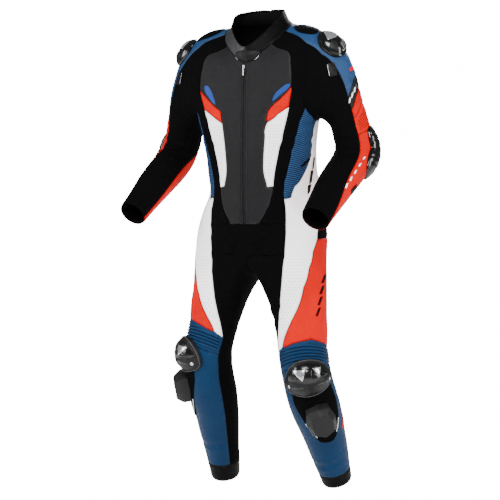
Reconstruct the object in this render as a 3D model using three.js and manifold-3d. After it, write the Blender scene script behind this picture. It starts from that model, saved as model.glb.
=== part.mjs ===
// Motorcycle race suit: one-piece leather and stretch suit, in the hollow form it has when worn.
// Millimetres, +Z up. The suit faces -Y, and the wearer's left side is at +X.
// The origin is the middle of the neck opening, where the suit hangs on the wearer's shoulders.
import * as THREE from 'three';
import { mergeVertices } from 'three/addons/utils/BufferGeometryUtils.js';
import Module from 'manifold-3d';

const solids = await Module();
solids.setup();

// Driving dimensions
const WALL = 2.0; // thickness of leather and stretch cloth
const SEAM_GAP = 0.3; // space between two neighbouring pieces
const ZIP_WIDTH = 10; // the whole zip tape, side to side
const RIB_HEIGHT = 1.8; // accordion ribs stand this far out of the wall
const RIBS_PER_CELL = 3; // accordion ribs in one row of cells
const FOLD_REACH = 1.6; // a fold dies out at this many times its half width
const PLATE_ROOT = 2; // a hard plate starts this deep in the cloth before it is cut to fit
const CUT_DEPTH = 8; // the block that cuts it reaches this deep
const THIN_PLATE = 2; // pads and tabs of even thickness
const RIB_ROOM = RIB_HEIGHT + 0.4; // plates keep this much more from the cloth over accordion ribs
const SPOKES = 16; // corners of a hard plate's outline
const PLATE_RINGS = 3; // rings of faces from its middle to its edge

// Grid of the trunk: columns run from the front centre round the wearer's left side to the back
// and on to the front again. Rows run down from the neck.
const TRUNK_COLUMNS = 32;
const HALF = TRUNK_COLUMNS / 2;
const COLLAR_ROWS = 2;
const TRUNK_ROWS = 18;
const ARMHOLE = { top: 2, bottom: 7, front: 6, back: 10 };
const STRIPE_TOP = 5;
const STRIPE_BOTTOM = 7;
const SIDE_FRONT_END = 13;
const FLANK_END = 14;
const FRONT_END = 16;
const RED_START = 17;
const SEAT_START = 12;

// Grid of a leg: the trunk's half ring, then the crotch seam
const CROTCH_CELLS = 6;
const LEG_COLUMNS = HALF + CROTCH_CELLS;
const LEG_ROWS = 18;
const RIBS_START = 5;
const RIBS_END = 7;
const HEM_START = 17;

// Grid of a sleeve
const SLEEVE_COLUMNS = 18;
const SLEEVE_ROWS = 16;
const SLEEVE_BACK_SEAM = 9;

// A table has a list of column names and then one line for each row
function table(names, ...lines) {
  return lines.map((line) => Object.fromEntries(names.map((name, index) => [name, line[index]])));
}

// Trunk sections. Each line gives five points of one ring on the wearer's left: front centre,
// front corner, side, back corner and back centre.
const trunkSections = table(
  ['row', 'frontY', 'frontZ', 'cornerX', 'cornerY', 'cornerZ', 'sideX', 'sideY', 'sideZ',
    'backX', 'backY', 'backZ', 'spineY', 'spineZ'],
  [-2, -86, -34, 64, -46, 24, 78, 5, 69, 60, 56, 86, 73, 91],
  [-1, -88, -54, 72, -46, 6, 86, 4, 48, 72, 52, 66, 74, 74],
  [0, -88, -72, 84, -42, -12, 97, 5, 26, 84, 48, 46, 76, 54],
  [1, -91, -110, 128, -56, -22, 150, 4, 34, 128, 68, 34, 100, 30],
  [2, -93, -148, 174, -60, -16, 210, 4, 26, 174, 76, 6, 116, -8],
  [3, -94, -172, 179, -70, -62, 210, 4, -40, 172, 92, -46, 122, -50],
  [4, -95, -195, 180, -75, -104, 206, 4, -95, 170, 98, -90, 126, -92],
  [5, -96, -218, 179, -76, -142, 203, 4, -145, 169, 98, -132, 130, -132],
  [6, -97, -240, 178, -72, -176, 196, 4, -196, 168, 92, -170, 134, -170],
  [7, -97, -262, 177, -62, -208, 184, 4, -246, 172, 74, -210, 138, -206],
  [8, -98, -290, 167, -58, -262, 178, 8, -282, 164, 80, -262, 142, -248],
  [10, -99, -350, 150, -50, -345, 171, 16, -350, 156, 84, -345, 150, -335],
  [13, -97, -448, 146, -42, -445, 172, 24, -445, 164, 108, -444, 160, -440],
  [15, -95, -518, 167, -44, -516, 188, 22, -516, 177, 104, -516, 158, -515],
  [17, -90, -598, 184, -44, -596, 206, 18, -598, 186, 92, -600, 152, -602],
  [18, -86, -640, 190, -42, -636, 214, 15, -638, 192, 90, -642, 148, -650],
);
const SECTION_PLACES = { corner: 0.35, side: 0.5, back: 0.65 };

// Where the seams run round the trunk: 0 is the front centre, 1 the back centre
const trunkSeams = table(
  ['row', 'grey', 'band', 'flank', 'waist', 'hip', 'rear'],
  [0, 0.14, 0.28, 0.46, 0.505, 0.56, 0.68],
  [1, 0.13, 0.28, 0.41, 0.5, 0.6, 0.72],
  [2, 0.13, 0.28, 0.35, 0.5, 0.65, 0.78],
  [5, 0.14, 0.3, 0.35, 0.5, 0.65, 0.8],
  [7, 0.14, 0.27, 0.35, 0.5, 0.65, 0.8],
  [10, 0.145, 0.235, 0.315, 0.49, 0.67, 0.8],
  [12, 0.15, 0.21, 0.285, 0.4, 0.68, 0.8],
  [13, 0.185, 0.197, 0.27, 0.33, 0.66, 0.8],
  [14, 0.1, 0.18, 0.262, 0.274, 0.62, 0.79],
  [15, 0.075, 0.145, 0.255, 0.33, 0.55, 0.77],
  [16, 0.035, 0.07, 0.245, 0.33, 0.49, 0.74],
  [17, 0.06, 0.12, 0.23, 0.32, 0.425, 0.7],
  [18, 0.07, 0.14, 0.205, 0.29, 0.375, 0.66],
);
const SEAM_COLUMNS = table(
  ['name', 'column'],
  ['centre', 0], ['grey', 2], ['band', 4], ['flank', 6], ['waist', 8], ['hip', 10], ['rear', 14],
  ['spine', 16],
);

// Rows that leave their level between the zip and the band, where the chest stripes slant
const chestRows = table(
  ['row', 'centre', 'grey', 'band'],
  [0, 0, 0, 0],
  [1, 1, 1, 1],
  [2, 2, 2, 2],
  [3, 3.6, 3.6, 3.1],
  [4, 5.2, 5.2, 4.2],
  [5, 6.4, 6.4, 5.0],
  [6, 6.9, 6.9, 5.8],
  [7, 7.4, 7.4, 6.7],
  [8, 8.2, 8.2, 7.9],
  [9, 9, 9, 9],
);

// Crotch seam from the front centre to the back centre
const crotchSeam = table(
  ['y', 'z'],
  [-66, -652], [-34, -668], [4, -676], [44, -676], [92, -668],
);

// Joints of the wearer's figure on each side, and the angle that each knee turns outward
const sides = table(
  ['name', 'sign', 'shoulder', 'elbow', 'wrist', 'hip', 'knee', 'ankle', 'hemDepth', 'kneeTurn',
    'puckTurn', 'puckDrop'],
  ['left', 1, [224, 5, -16], [300, 35, -345], [277, -196, -536], [112, 20, -640],
    [168, -12, -1000], [196, 155, -1347], 42, 28, 32, 116],
  ['right', -1, [212, 5, -22], [290, 35, -335], [321, -198, -527], [112, 20, -640],
    [165, -12, -958], [195, 155, -1366], 64, 42, 62, 104],
);

// Leg girth: -1 is the hip, 0 the knee and 1 the hem
const legSections = table(
  ['at', 'front', 'back', 'inner', 'outer'],
  [-1, 108, 126, 88, 104],
  [-0.6, 92, 98, 80, 92],
  [-0.25, 80, 82, 74, 78],
  [0, 76, 72, 72, 74],
  [0.3, 74, 78, 74, 76],
  [0.55, 62, 74, 64, 66],
  [0.8, 52, 60, 54, 55],
  [1, 46, 48, 46, 46],
);

// Where the seams run round a leg in degrees: 0 is the front, 90 the outer side
const legSeams = table(
  ['row', 'centre', 'band', 'flank', 'waist', 'hip', 'rear', 'spine'],
  [1, -52, -30, -7, 16, 41, 124, 222],
  [2, -60, -40, -15, 6, 29, 128, 218],
  [3, -68, -48, -24, -4, 18, 132, 214],
  [4, -80, -62, -42, -26, -8, 136, 208],
  [5, -92, -74, -61, -57, -53, 140, 204],
  [6, -94, -74, -59, -38, -10, 140, 202],
  [7, -96, -74, -57, -22, 20, 140, 200],
  [12, -98, -74, -56, -14, 32, 140, 200],
  [18, -98, -74, -56, -14, 32, 140, 200],
);

// Sleeve girth: 0 is the shoulder, 1 the elbow and 2 the wrist
const sleeveSections = table(
  ['at', 'front', 'back', 'inner', 'outer'],
  [-0.2, 60, 64, 62, 62],
  [0, 60, 64, 62, 62],
  [0.5, 57, 60, 58, 58],
  [0.85, 55, 58, 55, 57],
  [1, 56, 60, 56, 60],
  [1.35, 56, 58, 56, 58],
  [1.7, 48, 50, 48, 50],
  [2, 41, 42, 41, 42],
);

// Sleeve rows: how far down the sleeve each one lies, outside and inside the arm, how much lower it
// dips in front, and where the two long seams run in degrees. 0 is the front, 90 the outer side
// and 270 the side of the trunk.
const sleeveRows = table(
  ['row', 'outer', 'inner', 'frontDrop', 'frontSeam', 'backSeam'],
  [0, -30, 205, 0, 55, 235],
  [1, 4, 214, 4, 50, 235],
  [2, 40, 226, 12, 44, 235],
  [3, 76, 238, 22, 41, 235],
  [4, 112, 250, 30, 40, 235],
  [5, 148, 264, 32, 39, 235],
  [6, 200, 282, 16, 38, 236],
  [7, 236, 296, 6, 37, 238],
  [8, 272, 310, 0, 36, 252],
  [9, 322, 330, 0, 35, 270],
  [10, 360, 350, 0, 35, 280],
  [11, 402, 385, 0, 37, 284],
  [12, 446, 428, 0, 43, 282],
  [13, 490, 474, 0, 55, 274],
  [14, 534, 522, 0, 74, 268],
  [15, 590, 586, 0, 98, 264],
  [16, 622, 622, 0, 110, 262],
);
const SLEEVE_PANELS = { band: 4, upper: 5, ribs: 6, forearm: 8 };

// Hard pieces. Over a shoulder they are aimed from a point inside it.
const SHOULDER_MIDDLE = [205, 10, -80];
const SHOULDER_REACH = 62; // from that point to the cloth, so that sizes on the cloth come out true
const THIN_BLANK = 12; // a thin plate's blank stands this high before it is cut to the layer
const CUT_MARGIN = 45; // the cloth is cut away this far round a plate
const shoulderPieces = table(
  ['piece', 'aim', 'width', 'depth', 'rim', 'rise', 'thin', 'material'],
  ['shoulder_cup', [56, -27, 66], 46, 42, 4, 18, false, 'shell'],
  ['shoulder_pad', [-36, -12, 98], 20, 20, 12, 0, true, 'black'],
);
const sleevePieces = table(
  ['piece', 'angle', 'along', 'width', 'depth', 'rim', 'rise', 'radius', 'material'],
  ['arm_tab', 15, 92, 12, 20, 3, 1, 58, 'slider'],
  ['elbow_guard', 112, 338, 38, 68, 4, 18, 60, 'shell'],
);

// Knee pieces: x runs to the wearer's outer side and y up
const KNEE_RADIUS = 76;
const KNEE_CLEARANCE = 1.015; // a neighbour is cut this much wider than the piece in it
const KNEE_SHELL = {
  drop: 0,
  rim: 8,
  rise: 26,
  outline: [[74, -14], [66, 14], [40, 38], [0, 46], [-40, 38], [-66, 14], [-74, -14], [-40, -32], [0, -38],
    [40, -32]],
};
const KNEE_SLIDER = {
  rim: 16,
  rise: 28,
  outline: [[46, 8], [34, 46], [0, 52], [-36, 44], [-46, 6], [-38, -34], [0, -50], [40, -34]],
};
const KNEE_BASE = {
  drop: 110,
  outline: [[74, 40], [60, 96], [0, 110], [-60, 96], [-72, 60], [-56, 0], [-44, -50], [-26, -92],
    [20, -100], [52, -70], [66, -20]],
};

// Collar tab: x to the wearer's left and y up, about its middle at x and z
const COLLAR_TAB = {
  middle: [7, -62],
  height: 4,
  outline: [[42, 6], [34, 16], [0, 18], [-34, 16], [-42, 6], [-30, -10], [0, -18], [30, -10]],
};
const ZIP_GAP = 0.3;
const ZIP_SLIDER = { z: -94, width: 7, thick: 4, height: 11 };
const ZIP_PULL = { top: -94, length: 26, width: 5, thick: 1.4, clearance: 0.6 };

// Colours and surfaces
const MATERIALS = {
  black: [0x0b0b0c, 0.75, 0],
  grey: [0x38383a, 0.5, 0],
  white: [0xf0f0f0, 0.45, 0],
  red: [0xff2d14, 0.45, 0],
  blue: [0x2a629a, 0.45, 0],
  navy: [0x10305a, 0.6, 0],
  shell: [0x101012, 0.15, 0],
  slider: [0x303032, 0.5, 0],
  steel: [0xb9bcc2, 0.3, 1],
};

// Smooth curve through the values of one column of a table, at a given place
function valueAt(rows, key, column, place) {
  const last = rows.length - 1;
  let index = 0;
  while (index < last - 1 && place > rows[index + 1][key]) index += 1;
  const slopeAt = (i) => {
    const before = rows[Math.max(i - 1, 0)];
    const after = rows[Math.min(i + 1, last)];
    return (after[column] - before[column]) / (after[key] - before[key]);
  };
  const from = rows[index];
  const to = rows[index + 1];
  const span = to[key] - from[key];
  const t = THREE.MathUtils.clamp((place - from[key]) / span, 0, 1);
  const t2 = t * t;
  const t3 = t2 * t;
  return (2 * t3 - 3 * t2 + 1) * from[column] + (t3 - 2 * t2 + t) * span * slopeAt(index)
    + (3 * t2 - 2 * t3) * to[column] + (t3 - t2) * span * slopeAt(index + 1);
}

// Point of the trunk's surface on the wearer's left, round from 0 to 1 and down by rows
function trunkPoint(round, row) {
  const value = (column) => valueAt(trunkSections, 'row', column, row);
  const corner = {
    round: SECTION_PLACES.corner,
    x: value('cornerX'),
    y: value('cornerY'),
    z: value('cornerZ'),
  };
  const side = { round: SECTION_PLACES.side, x: value('sideX'), y: value('sideY'), z: value('sideZ') };
  const back = { round: SECTION_PLACES.back, x: value('backX'), y: value('backY'), z: value('backZ') };
  const mirrored = (point, about) => ({ ...point, round: 2 * about - point.round, x: -point.x });
  const ring = [
    mirrored(corner, 0),
    { round: 0, x: 0, y: value('frontY'), z: value('frontZ') },
    corner,
    side,
    back,
    { round: 1, x: 0, y: value('spineY'), z: value('spineZ') },
    mirrored(back, 1),
  ];
  const at = (column) => valueAt(ring, 'round', column, round);
  return new THREE.Vector3(at('x'), at('y'), at('z'));
}

// Straight interpolation between named columns of the grid
function betweenSeams(stops, column) {
  let index = 0;
  while (index < stops.length - 2 && column > stops[index + 1].column) index += 1;
  const from = stops[index];
  const to = stops[index + 1];
  return THREE.MathUtils.mapLinear(column, from.column, to.column, from.value, to.value);
}

function seamStops(valueOf) {
  return SEAM_COLUMNS.map(({ name, column }) => ({ column, value: valueOf(name) }));
}

const TRUNK_ENDS = { centre: 0, spine: 1 };

// Grid point of the trunk on the wearer's left
function trunkGridPoint(column, row) {
  const round = betweenSeams(
    seamStops((name) => TRUNK_ENDS[name] ?? valueAt(trunkSeams, 'row', name, row)),
    column,
  );
  const leaves = row >= 0 && row <= chestRows.at(-1).row;
  const level = betweenSeams(
    seamStops((name) => {
      const slants = leaves && ['centre', 'grey', 'band'].includes(name);
      return slants ? valueAt(chestRows, 'row', name, row) : row;
    }),
    column,
  );
  return trunkPoint(round, level);
}

// A bent tube through a start, a bend and an end: a leg or a sleeve
class Tube {
  constructor(side, joints, sections) {
    this.sign = side.sign;
    this.sections = sections;
    const [start, bend, end] = joints.map(([x, y, z]) => new THREE.Vector3(x * side.sign, y, z));
    const first = start.clone().lerp(bend, 0.5);
    const second = bend.clone().lerp(end, 0.5);
    this.curve = new THREE.CatmullRomCurve3([start, first, bend, second, end], false, 'centripetal');
    this.curve.arcLengthDivisions = 400;
    this.upper = start.distanceTo(bend);
    this.lower = bend.distanceTo(end);
    this.length = this.upper + this.lower;
  }

  // Middle and directions of the section that lies this far down the tube
  frame(along) {
    const place = THREE.MathUtils.clamp(along / this.length, 0, 1);
    const middle = this.curve.getPointAt(place);
    const down = this.curve.getTangentAt(place);
    middle.addScaledVector(down, along - place * this.length);
    const front = new THREE.Vector3(0, -1, 0);
    front.addScaledVector(down, -front.dot(down)).normalize();
    const outer = new THREE.Vector3().crossVectors(front, down).multiplyScalar(this.sign).normalize();
    return { middle, down, front, outer };
  }

  // Outward direction and surface point at an angle in degrees
  at(angle, along, section) {
    const { middle, front, outer } = this.frame(along);
    const turn = THREE.MathUtils.degToRad(angle);
    const cosine = Math.cos(turn);
    const sine = Math.sin(turn);
    const girth = (column) => valueAt(this.sections, 'at', column, section);
    const depth = cosine > 0 ? girth('front') : girth('back');
    const width = sine > 0 ? girth('outer') : girth('inner');
    const point = middle.clone().addScaledVector(front, cosine * depth)
      .addScaledVector(outer, sine * width);
    const normal = front.clone().multiplyScalar(cosine / depth)
      .addScaledVector(outer, sine / width).normalize();
    return { point, normal };
  }
}

function legTube(side) {
  return new Tube(side, [side.hip, side.knee, side.ankle], legSections);
}

function sleeveTube(side) {
  return new Tube(side, [side.shoulder, side.elbow, side.wrist], sleeveSections);
}

// Place on a leg, this far below the knee
function legAt(tube, angle, belowKnee) {
  const section = belowKnee < 0 ? belowKnee / tube.upper : belowKnee / tube.lower;
  return tube.at(angle, tube.upper + belowKnee, section);
}

function sleeveAt(tube, angle, along) {
  const section = along < tube.upper ? along / tube.upper : 1 + (along - tube.upper) / tube.lower;
  return tube.at(angle, along, section);
}

// How far below the knee each row of a leg lies. The accordion panel's rows arch over the knee.
const RIB_ROWS = { top: -88, bottom: -34, arch: 46 };
const SHIN_START = 170;
const CROTCH_DROP = 68; // the crotch seam lies this much lower than the hip seam

function legRowPlace(tube, side, row, angle) {
  const turned = THREE.MathUtils.degToRad(angle - side.kneeTurn);
  const arch = RIB_ROWS.arch * (1 - Math.cos(turned)) / 2;
  const top = RIB_ROWS.top + arch;
  const bottom = RIB_ROWS.bottom + arch * 0.6;
  const inner = (1 - Math.sin(THREE.MathUtils.degToRad(angle))) / 2;
  const start = -tube.upper + CROTCH_DROP * inner;
  if (row <= RIBS_START) return THREE.MathUtils.mapLinear(row, 0, RIBS_START, start, top);
  if (row <= RIBS_END) return THREE.MathUtils.mapLinear(row, RIBS_START, RIBS_END, top, bottom);
  const baseRow = 12;
  if (row <= baseRow) return THREE.MathUtils.mapLinear(row, RIBS_END, baseRow, bottom, SHIN_START);
  const hemTop = tube.lower - side.hemDepth;
  if (row <= HEM_START) return THREE.MathUtils.mapLinear(row, baseRow, HEM_START, SHIN_START, hemTop);
  return THREE.MathUtils.mapLinear(row, HEM_START, LEG_ROWS, hemTop, tube.lower);
}

function legAngle(row, column) {
  const stop = (name) => valueAt(legSeams, 'row', name, Math.max(row, 1));
  const centre = stop('centre');
  const stops = seamStops((name) => (name === 'grey' ? (centre + stop('band')) / 2 : stop(name)));
  stops.push({ column: LEG_COLUMNS, value: centre + 360 });
  return betweenSeams(stops, column);
}

function sleeveAngle(row, column) {
  const front = valueAt(sleeveRows, 'row', 'frontSeam', row);
  const back = valueAt(sleeveRows, 'row', 'backSeam', row);
  if (column <= SLEEVE_BACK_SEAM) {
    return THREE.MathUtils.mapLinear(column, 0, SLEEVE_BACK_SEAM, front, back);
  }
  return THREE.MathUtils.mapLinear(column, SLEEVE_BACK_SEAM, SLEEVE_COLUMNS, back, front + 360);
}

function sleeveRowPlace(row, angle) {
  const outer = valueAt(sleeveRows, 'row', 'outer', row);
  const inner = valueAt(sleeveRows, 'row', 'inner', row);
  const drop = valueAt(sleeveRows, 'row', 'frontDrop', row);
  const share = (1 - Math.cos(THREE.MathUtils.degToRad(angle - 100))) / 2;
  const facing = Math.max(0, Math.cos(THREE.MathUtils.degToRad(angle - 30)));
  return THREE.MathUtils.lerp(outer, inner, share) + drop * facing * facing;
}

// The net holds the middle surface of the whole suit: shared points and four-sided cells
const net = { points: [], cells: [] };

function addPoint(point) {
  net.points.push(point);
  return net.points.length - 1;
}

// A cell lists its corners anticlockwise as seen from outside: top left, bottom left, bottom right,
// top right. On the wearer's right the columns run the other way, so the corners are taken mirrored.
function addCell(panel, grid, column, row, columns, mirrored) {
  const next = (column + 1) % columns;
  const corners = [grid[row][column], grid[row + 1][column], grid[row + 1][next], grid[row][next]];
  net.cells.push({ panel, corners, mirrored });
}

function trunkPanel(column, row) {
  const half = column < HALF ? column : TRUNK_COLUMNS - 1 - column;
  const side = column < HALF ? 'left' : 'right';
  const inArmhole = half >= ARMHOLE.front && half < ARMHOLE.back
    && row >= ARMHOLE.top && row < ARMHOLE.bottom;
  if (inArmhole) return null;
  if (half < 6 && row >= FRONT_END) return 'crotch';
  if (half < 2) return `front_${side}`;
  if (half < 4) {
    if (row >= STRIPE_TOP && row < STRIPE_BOTTOM) return `chest_stripe_${side}`;
    if (row >= STRIPE_BOTTOM && row < SIDE_FRONT_END) return `side_front_${side}`;
    return `front_${side}`;
  }
  if (half < 6) return `band_${side}`;
  if (half < 10) {
    if (row < ARMHOLE.top) return `shoulder_${side}`;
    return half < 8 && row < FLANK_END ? `flank_${side}` : `hip_${side}`;
  }
  if (half < 14 && row >= RED_START) return `thigh_${side}`;
  return row < SEAT_START ? 'back' : 'seat';
}

function legPanel(side, column, row) {
  if (row >= HEM_START) return `hem_${side.name}`;
  const outside = column >= 6 && column < 14;
  if (row < RIBS_START) {
    if (!outside) return `inner_thigh_${side.name}`;
    return column < 10 ? `hip_${side.name}` : `thigh_${side.name}`;
  }
  if (!outside) return `calf_${side.name}`;
  return row < RIBS_END ? `knee_ribs_${side.name}` : `shin_${side.name}`;
}

function sleevePanel(side, column, row) {
  if (column >= SLEEVE_BACK_SEAM) return `sleeve_inner_${side.name}`;
  if (row < SLEEVE_PANELS.band) return `shoulder_${side.name}`;
  if (row < SLEEVE_PANELS.upper) return `sleeve_band_${side.name}`;
  if (row < SLEEVE_PANELS.ribs) return `sleeve_upper_${side.name}`;
  if (row < SLEEVE_PANELS.forearm) return `elbow_ribs_${side.name}`;
  return `forearm_${side.name}`;
}

// One ring of points round the trunk or the collar
function trunkLine(row) {
  const line = [];
  for (let column = 0; column < TRUNK_COLUMNS; column += 1) {
    const half = column <= HALF ? column : TRUNK_COLUMNS - column;
    const point = trunkGridPoint(half, row);
    if (column > HALF) point.x = -point.x;
    line.push(addPoint(point));
  }
  return line;
}

// The collar stands on the trunk's top ring, in two halves
function buildCollar(trunk) {
  const grid = [];
  for (let row = -COLLAR_ROWS; row < 0; row += 1) grid.push(trunkLine(row));
  grid.push(trunk[0]);
  for (let row = 0; row < COLLAR_ROWS; row += 1) {
    for (let column = 0; column < TRUNK_COLUMNS; column += 1) {
      const panel = column < HALF ? 'collar_left' : 'collar_right';
      addCell(panel, grid, column, row, TRUNK_COLUMNS, false);
    }
  }
}

// Trunk
function buildTrunk() {
  const grid = [];
  for (let row = 0; row <= TRUNK_ROWS; row += 1) grid.push(trunkLine(row));
  for (let row = 0; row < TRUNK_ROWS; row += 1) {
    for (let column = 0; column < TRUNK_COLUMNS; column += 1) {
      const panel = trunkPanel(column, row);
      if (panel) addCell(panel, grid, column, row, TRUNK_COLUMNS, false);
    }
  }
  return grid;
}

function mirroredColumn(side, column) {
  return side.sign > 0 ? column % TRUNK_COLUMNS : (TRUNK_COLUMNS - column) % TRUNK_COLUMNS;
}

// The armhole's edge, from its upper front corner round the back and up the front
function armholeLoop(trunk, side) {
  const loop = [];
  const at = (row, column) => trunk[row][mirroredColumn(side, column)];
  for (let column = ARMHOLE.front; column < ARMHOLE.back; column += 1) loop.push(at(ARMHOLE.top, column));
  for (let row = ARMHOLE.top; row < ARMHOLE.bottom; row += 1) loop.push(at(row, ARMHOLE.back));
  for (let column = ARMHOLE.back; column > ARMHOLE.front; column -= 1) {
    loop.push(at(ARMHOLE.bottom, column));
  }
  for (let row = ARMHOLE.bottom; row > ARMHOLE.top; row -= 1) loop.push(at(row, ARMHOLE.front));
  return loop;
}

// A sleeve or leg: its first line of points is the loop it is sewn to, and the next few lines
// pass smoothly from that loop to the tube
function buildLimb(loop, rows, easeRows, tubePoint, panelOf, side) {
  const columns = loop.length;
  const grid = [loop];
  for (let row = 1; row <= rows; row += 1) {
    const line = [];
    const left = Math.max(0, 1 - row / easeRows);
    const share = 1 - left * left;
    for (let column = 0; column < columns; column += 1) {
      const onTube = tubePoint(row, column);
      const start = net.points[loop[column]].clone();
      const carried = start.add(onTube).sub(tubePoint(0, column));
      line.push(addPoint(carried.lerp(onTube, share)));
    }
    grid.push(line);
  }
  for (let row = 0; row < rows; row += 1) {
    for (let column = 0; column < columns; column += 1) {
      addCell(panelOf(column, row), grid, column, row, columns, side.sign < 0);
    }
  }
  return grid;
}

function buildSleeve(trunk, side) {
  const tube = sleeveTube(side);
  const scale = tube.length / sleeveRows.at(-1).outer;
  const tubePoint = (row, column) => {
    const angle = sleeveAngle(row, column);
    return sleeveAt(tube, angle, sleeveRowPlace(row, angle) * scale).point;
  };
  const loop = armholeLoop(trunk, side);
  return buildLimb(loop, SLEEVE_ROWS, 3, tubePoint, (column, row) => sleevePanel(side, column, row), side);
}

function buildLeg(trunk, crotch, side) {
  const tube = legTube(side);
  const tubePoint = (row, column) => {
    const angle = legAngle(row, column);
    return legAt(tube, angle, legRowPlace(tube, side, row, angle)).point;
  };
  const loop = [];
  for (let column = 0; column <= HALF; column += 1) {
    loop.push(trunk[TRUNK_ROWS][mirroredColumn(side, column)]);
  }
  for (let index = crotch.length - 1; index >= 0; index -= 1) loop.push(crotch[index]);
  return buildLimb(loop, LEG_ROWS, 3, tubePoint, (column, row) => legPanel(side, column, row), side);
}

// Neighbouring points of each point of the net
function neighbourLists() {
  const lists = net.points.map(() => new Set());
  for (const { corners } of net.cells) {
    corners.forEach((corner, index) => {
      const next = corners[(index + 1) % corners.length];
      lists[corner].add(next);
      lists[next].add(corner);
    });
  }
  return lists;
}

// Eases the cloth where a sleeve or leg joins the trunk
function relax(movable, rounds, strength) {
  const lists = neighbourLists();
  for (let round = 0; round < rounds; round += 1) {
    const moved = new Map();
    for (const index of movable) {
      const around = new THREE.Vector3();
      lists[index].forEach((other) => around.add(net.points[other]));
      around.divideScalar(lists[index].size);
      moved.set(index, net.points[index].clone().lerp(around, strength));
    }
    moved.forEach((point, index) => net.points[index].copy(point));
  }
}

// Soft folds: each presses the cloth in along a short line, deepest at its middle
const folds = table(
  ['start', 'end', 'width', 'depth'],
  [[252, -45, -300], [330, -20, -330], 22, 5],
  [[240, -60, -345], [322, -60, -372], 20, 4],
  [[-252, -45, -292], [-330, -20, -322], 22, 5],
  [[-244, -62, -338], [-322, -62, -366], 20, 4],
  [[150, -95, -225], [205, -62, -262], 18, 4],
  [[-150, -95, -225], [-205, -62, -262], 18, 4],
  [[30, -95, -668], [120, -100, -700], 18, 4],
  [[-30, -95, -668], [-120, -100, -700], 18, 4],
  [[100, -98, -560], [170, -70, -590], 22, 3],
  [[-100, -98, -560], [-170, -70, -590], 22, 3],
  [[120, 85, -985], [230, 85, -985], 20, 5],
  [[-120, 85, -935], [-230, 85, -935], 20, 5],
);

function foldDepth(point) {
  let depth = 0;
  for (const fold of folds) {
    const line = new THREE.Line3(new THREE.Vector3(...fold.start), new THREE.Vector3(...fold.end));
    const nearest = line.closestPointToPoint(point, true, new THREE.Vector3());
    const reach = nearest.distanceTo(point) / (fold.width * FOLD_REACH);
    depth += fold.depth * Math.max(0, 1 - reach * reach) ** 2;
  }
  return depth;
}

function orderedCorners(cell) {
  return cell.mirrored ? [...cell.corners].reverse() : cell.corners;
}

function pointNormals() {
  const normals = net.points.map(() => new THREE.Vector3());
  for (const cell of net.cells) {
    const [a, b, c, d] = orderedCorners(cell).map((index) => net.points[index]);
    const across = new THREE.Vector3().subVectors(c, a);
    const normal = across.cross(new THREE.Vector3().subVectors(d, b)).normalize();
    cell.corners.forEach((index) => normals[index].add(normal));
  }
  return normals.map((normal) => normal.normalize());
}

// Solid from lists of corner positions and outward-facing faces
function solid(positions, faces) {
  const geometry = new THREE.BufferGeometry();
  const numbers = positions.flatMap((point) => [point.x, point.y, point.z]);
  geometry.setAttribute('position', new THREE.Float32BufferAttribute(numbers, 3));
  geometry.setIndex(faces.flat());
  geometry.computeVertexNormals();
  return geometry;
}

function makeMesh(name, geometry, material) {
  const [color, roughness, metalness] = MATERIALS[material];
  const mesh = new THREE.Mesh(geometry, new THREE.MeshStandardMaterial({ color, roughness, metalness }));
  mesh.name = name;
  return mesh;
}

// Half the space left along each edge of the net: the zip's column is wider than a seam
function edgeClearance(first, second, zipPoints) {
  return zipPoints.has(first) && zipPoints.has(second) ? ZIP_WIDTH / 2 + SEAM_GAP : SEAM_GAP / 2;
}

// Offsets that draw a panel's border back from its seams, in the plane of the cloth
function borderOffsets(cells, normals, zipPoints) {
  const edges = new Map();
  for (const cell of cells) {
    const corners = orderedCorners(cell);
    corners.forEach((corner, index) => {
      const next = corners[(index + 1) % corners.length];
      edges.set(`${corner}_${next}`, [corner, next]);
    });
  }
  const border = [...edges.values()].filter(([from, to]) => !edges.has(`${to}_${from}`));
  const pulls = new Map();
  for (const [from, to] of border) {
    const clearance = edgeClearance(from, to, zipPoints);
    const run = new THREE.Vector3().subVectors(net.points[to], net.points[from]).normalize();
    for (const index of [from, to]) {
      const inward = new THREE.Vector3().crossVectors(normals[index], run).normalize();
      if (!pulls.has(index)) pulls.set(index, []);
      pulls.get(index).push({ inward, clearance });
    }
  }
  const offsets = new Map();
  pulls.forEach((list, index) => {
    const [one, two] = list;
    const shared = two ? one.inward.dot(two.inward) : 1;
    if (!two || shared > 0.999) {
      const clearance = Math.max(...list.map((pull) => pull.clearance));
      offsets.set(index, one.inward.clone().multiplyScalar(clearance));
      return;
    }
    const spread = 1 - shared * shared;
    const first = (one.clearance - shared * two.clearance) / spread;
    const second = (two.clearance - shared * one.clearance) / spread;
    offsets.set(index, one.inward.clone().multiplyScalar(first).addScaledVector(two.inward, second));
  });
  return { offsets, border };
}

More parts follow.
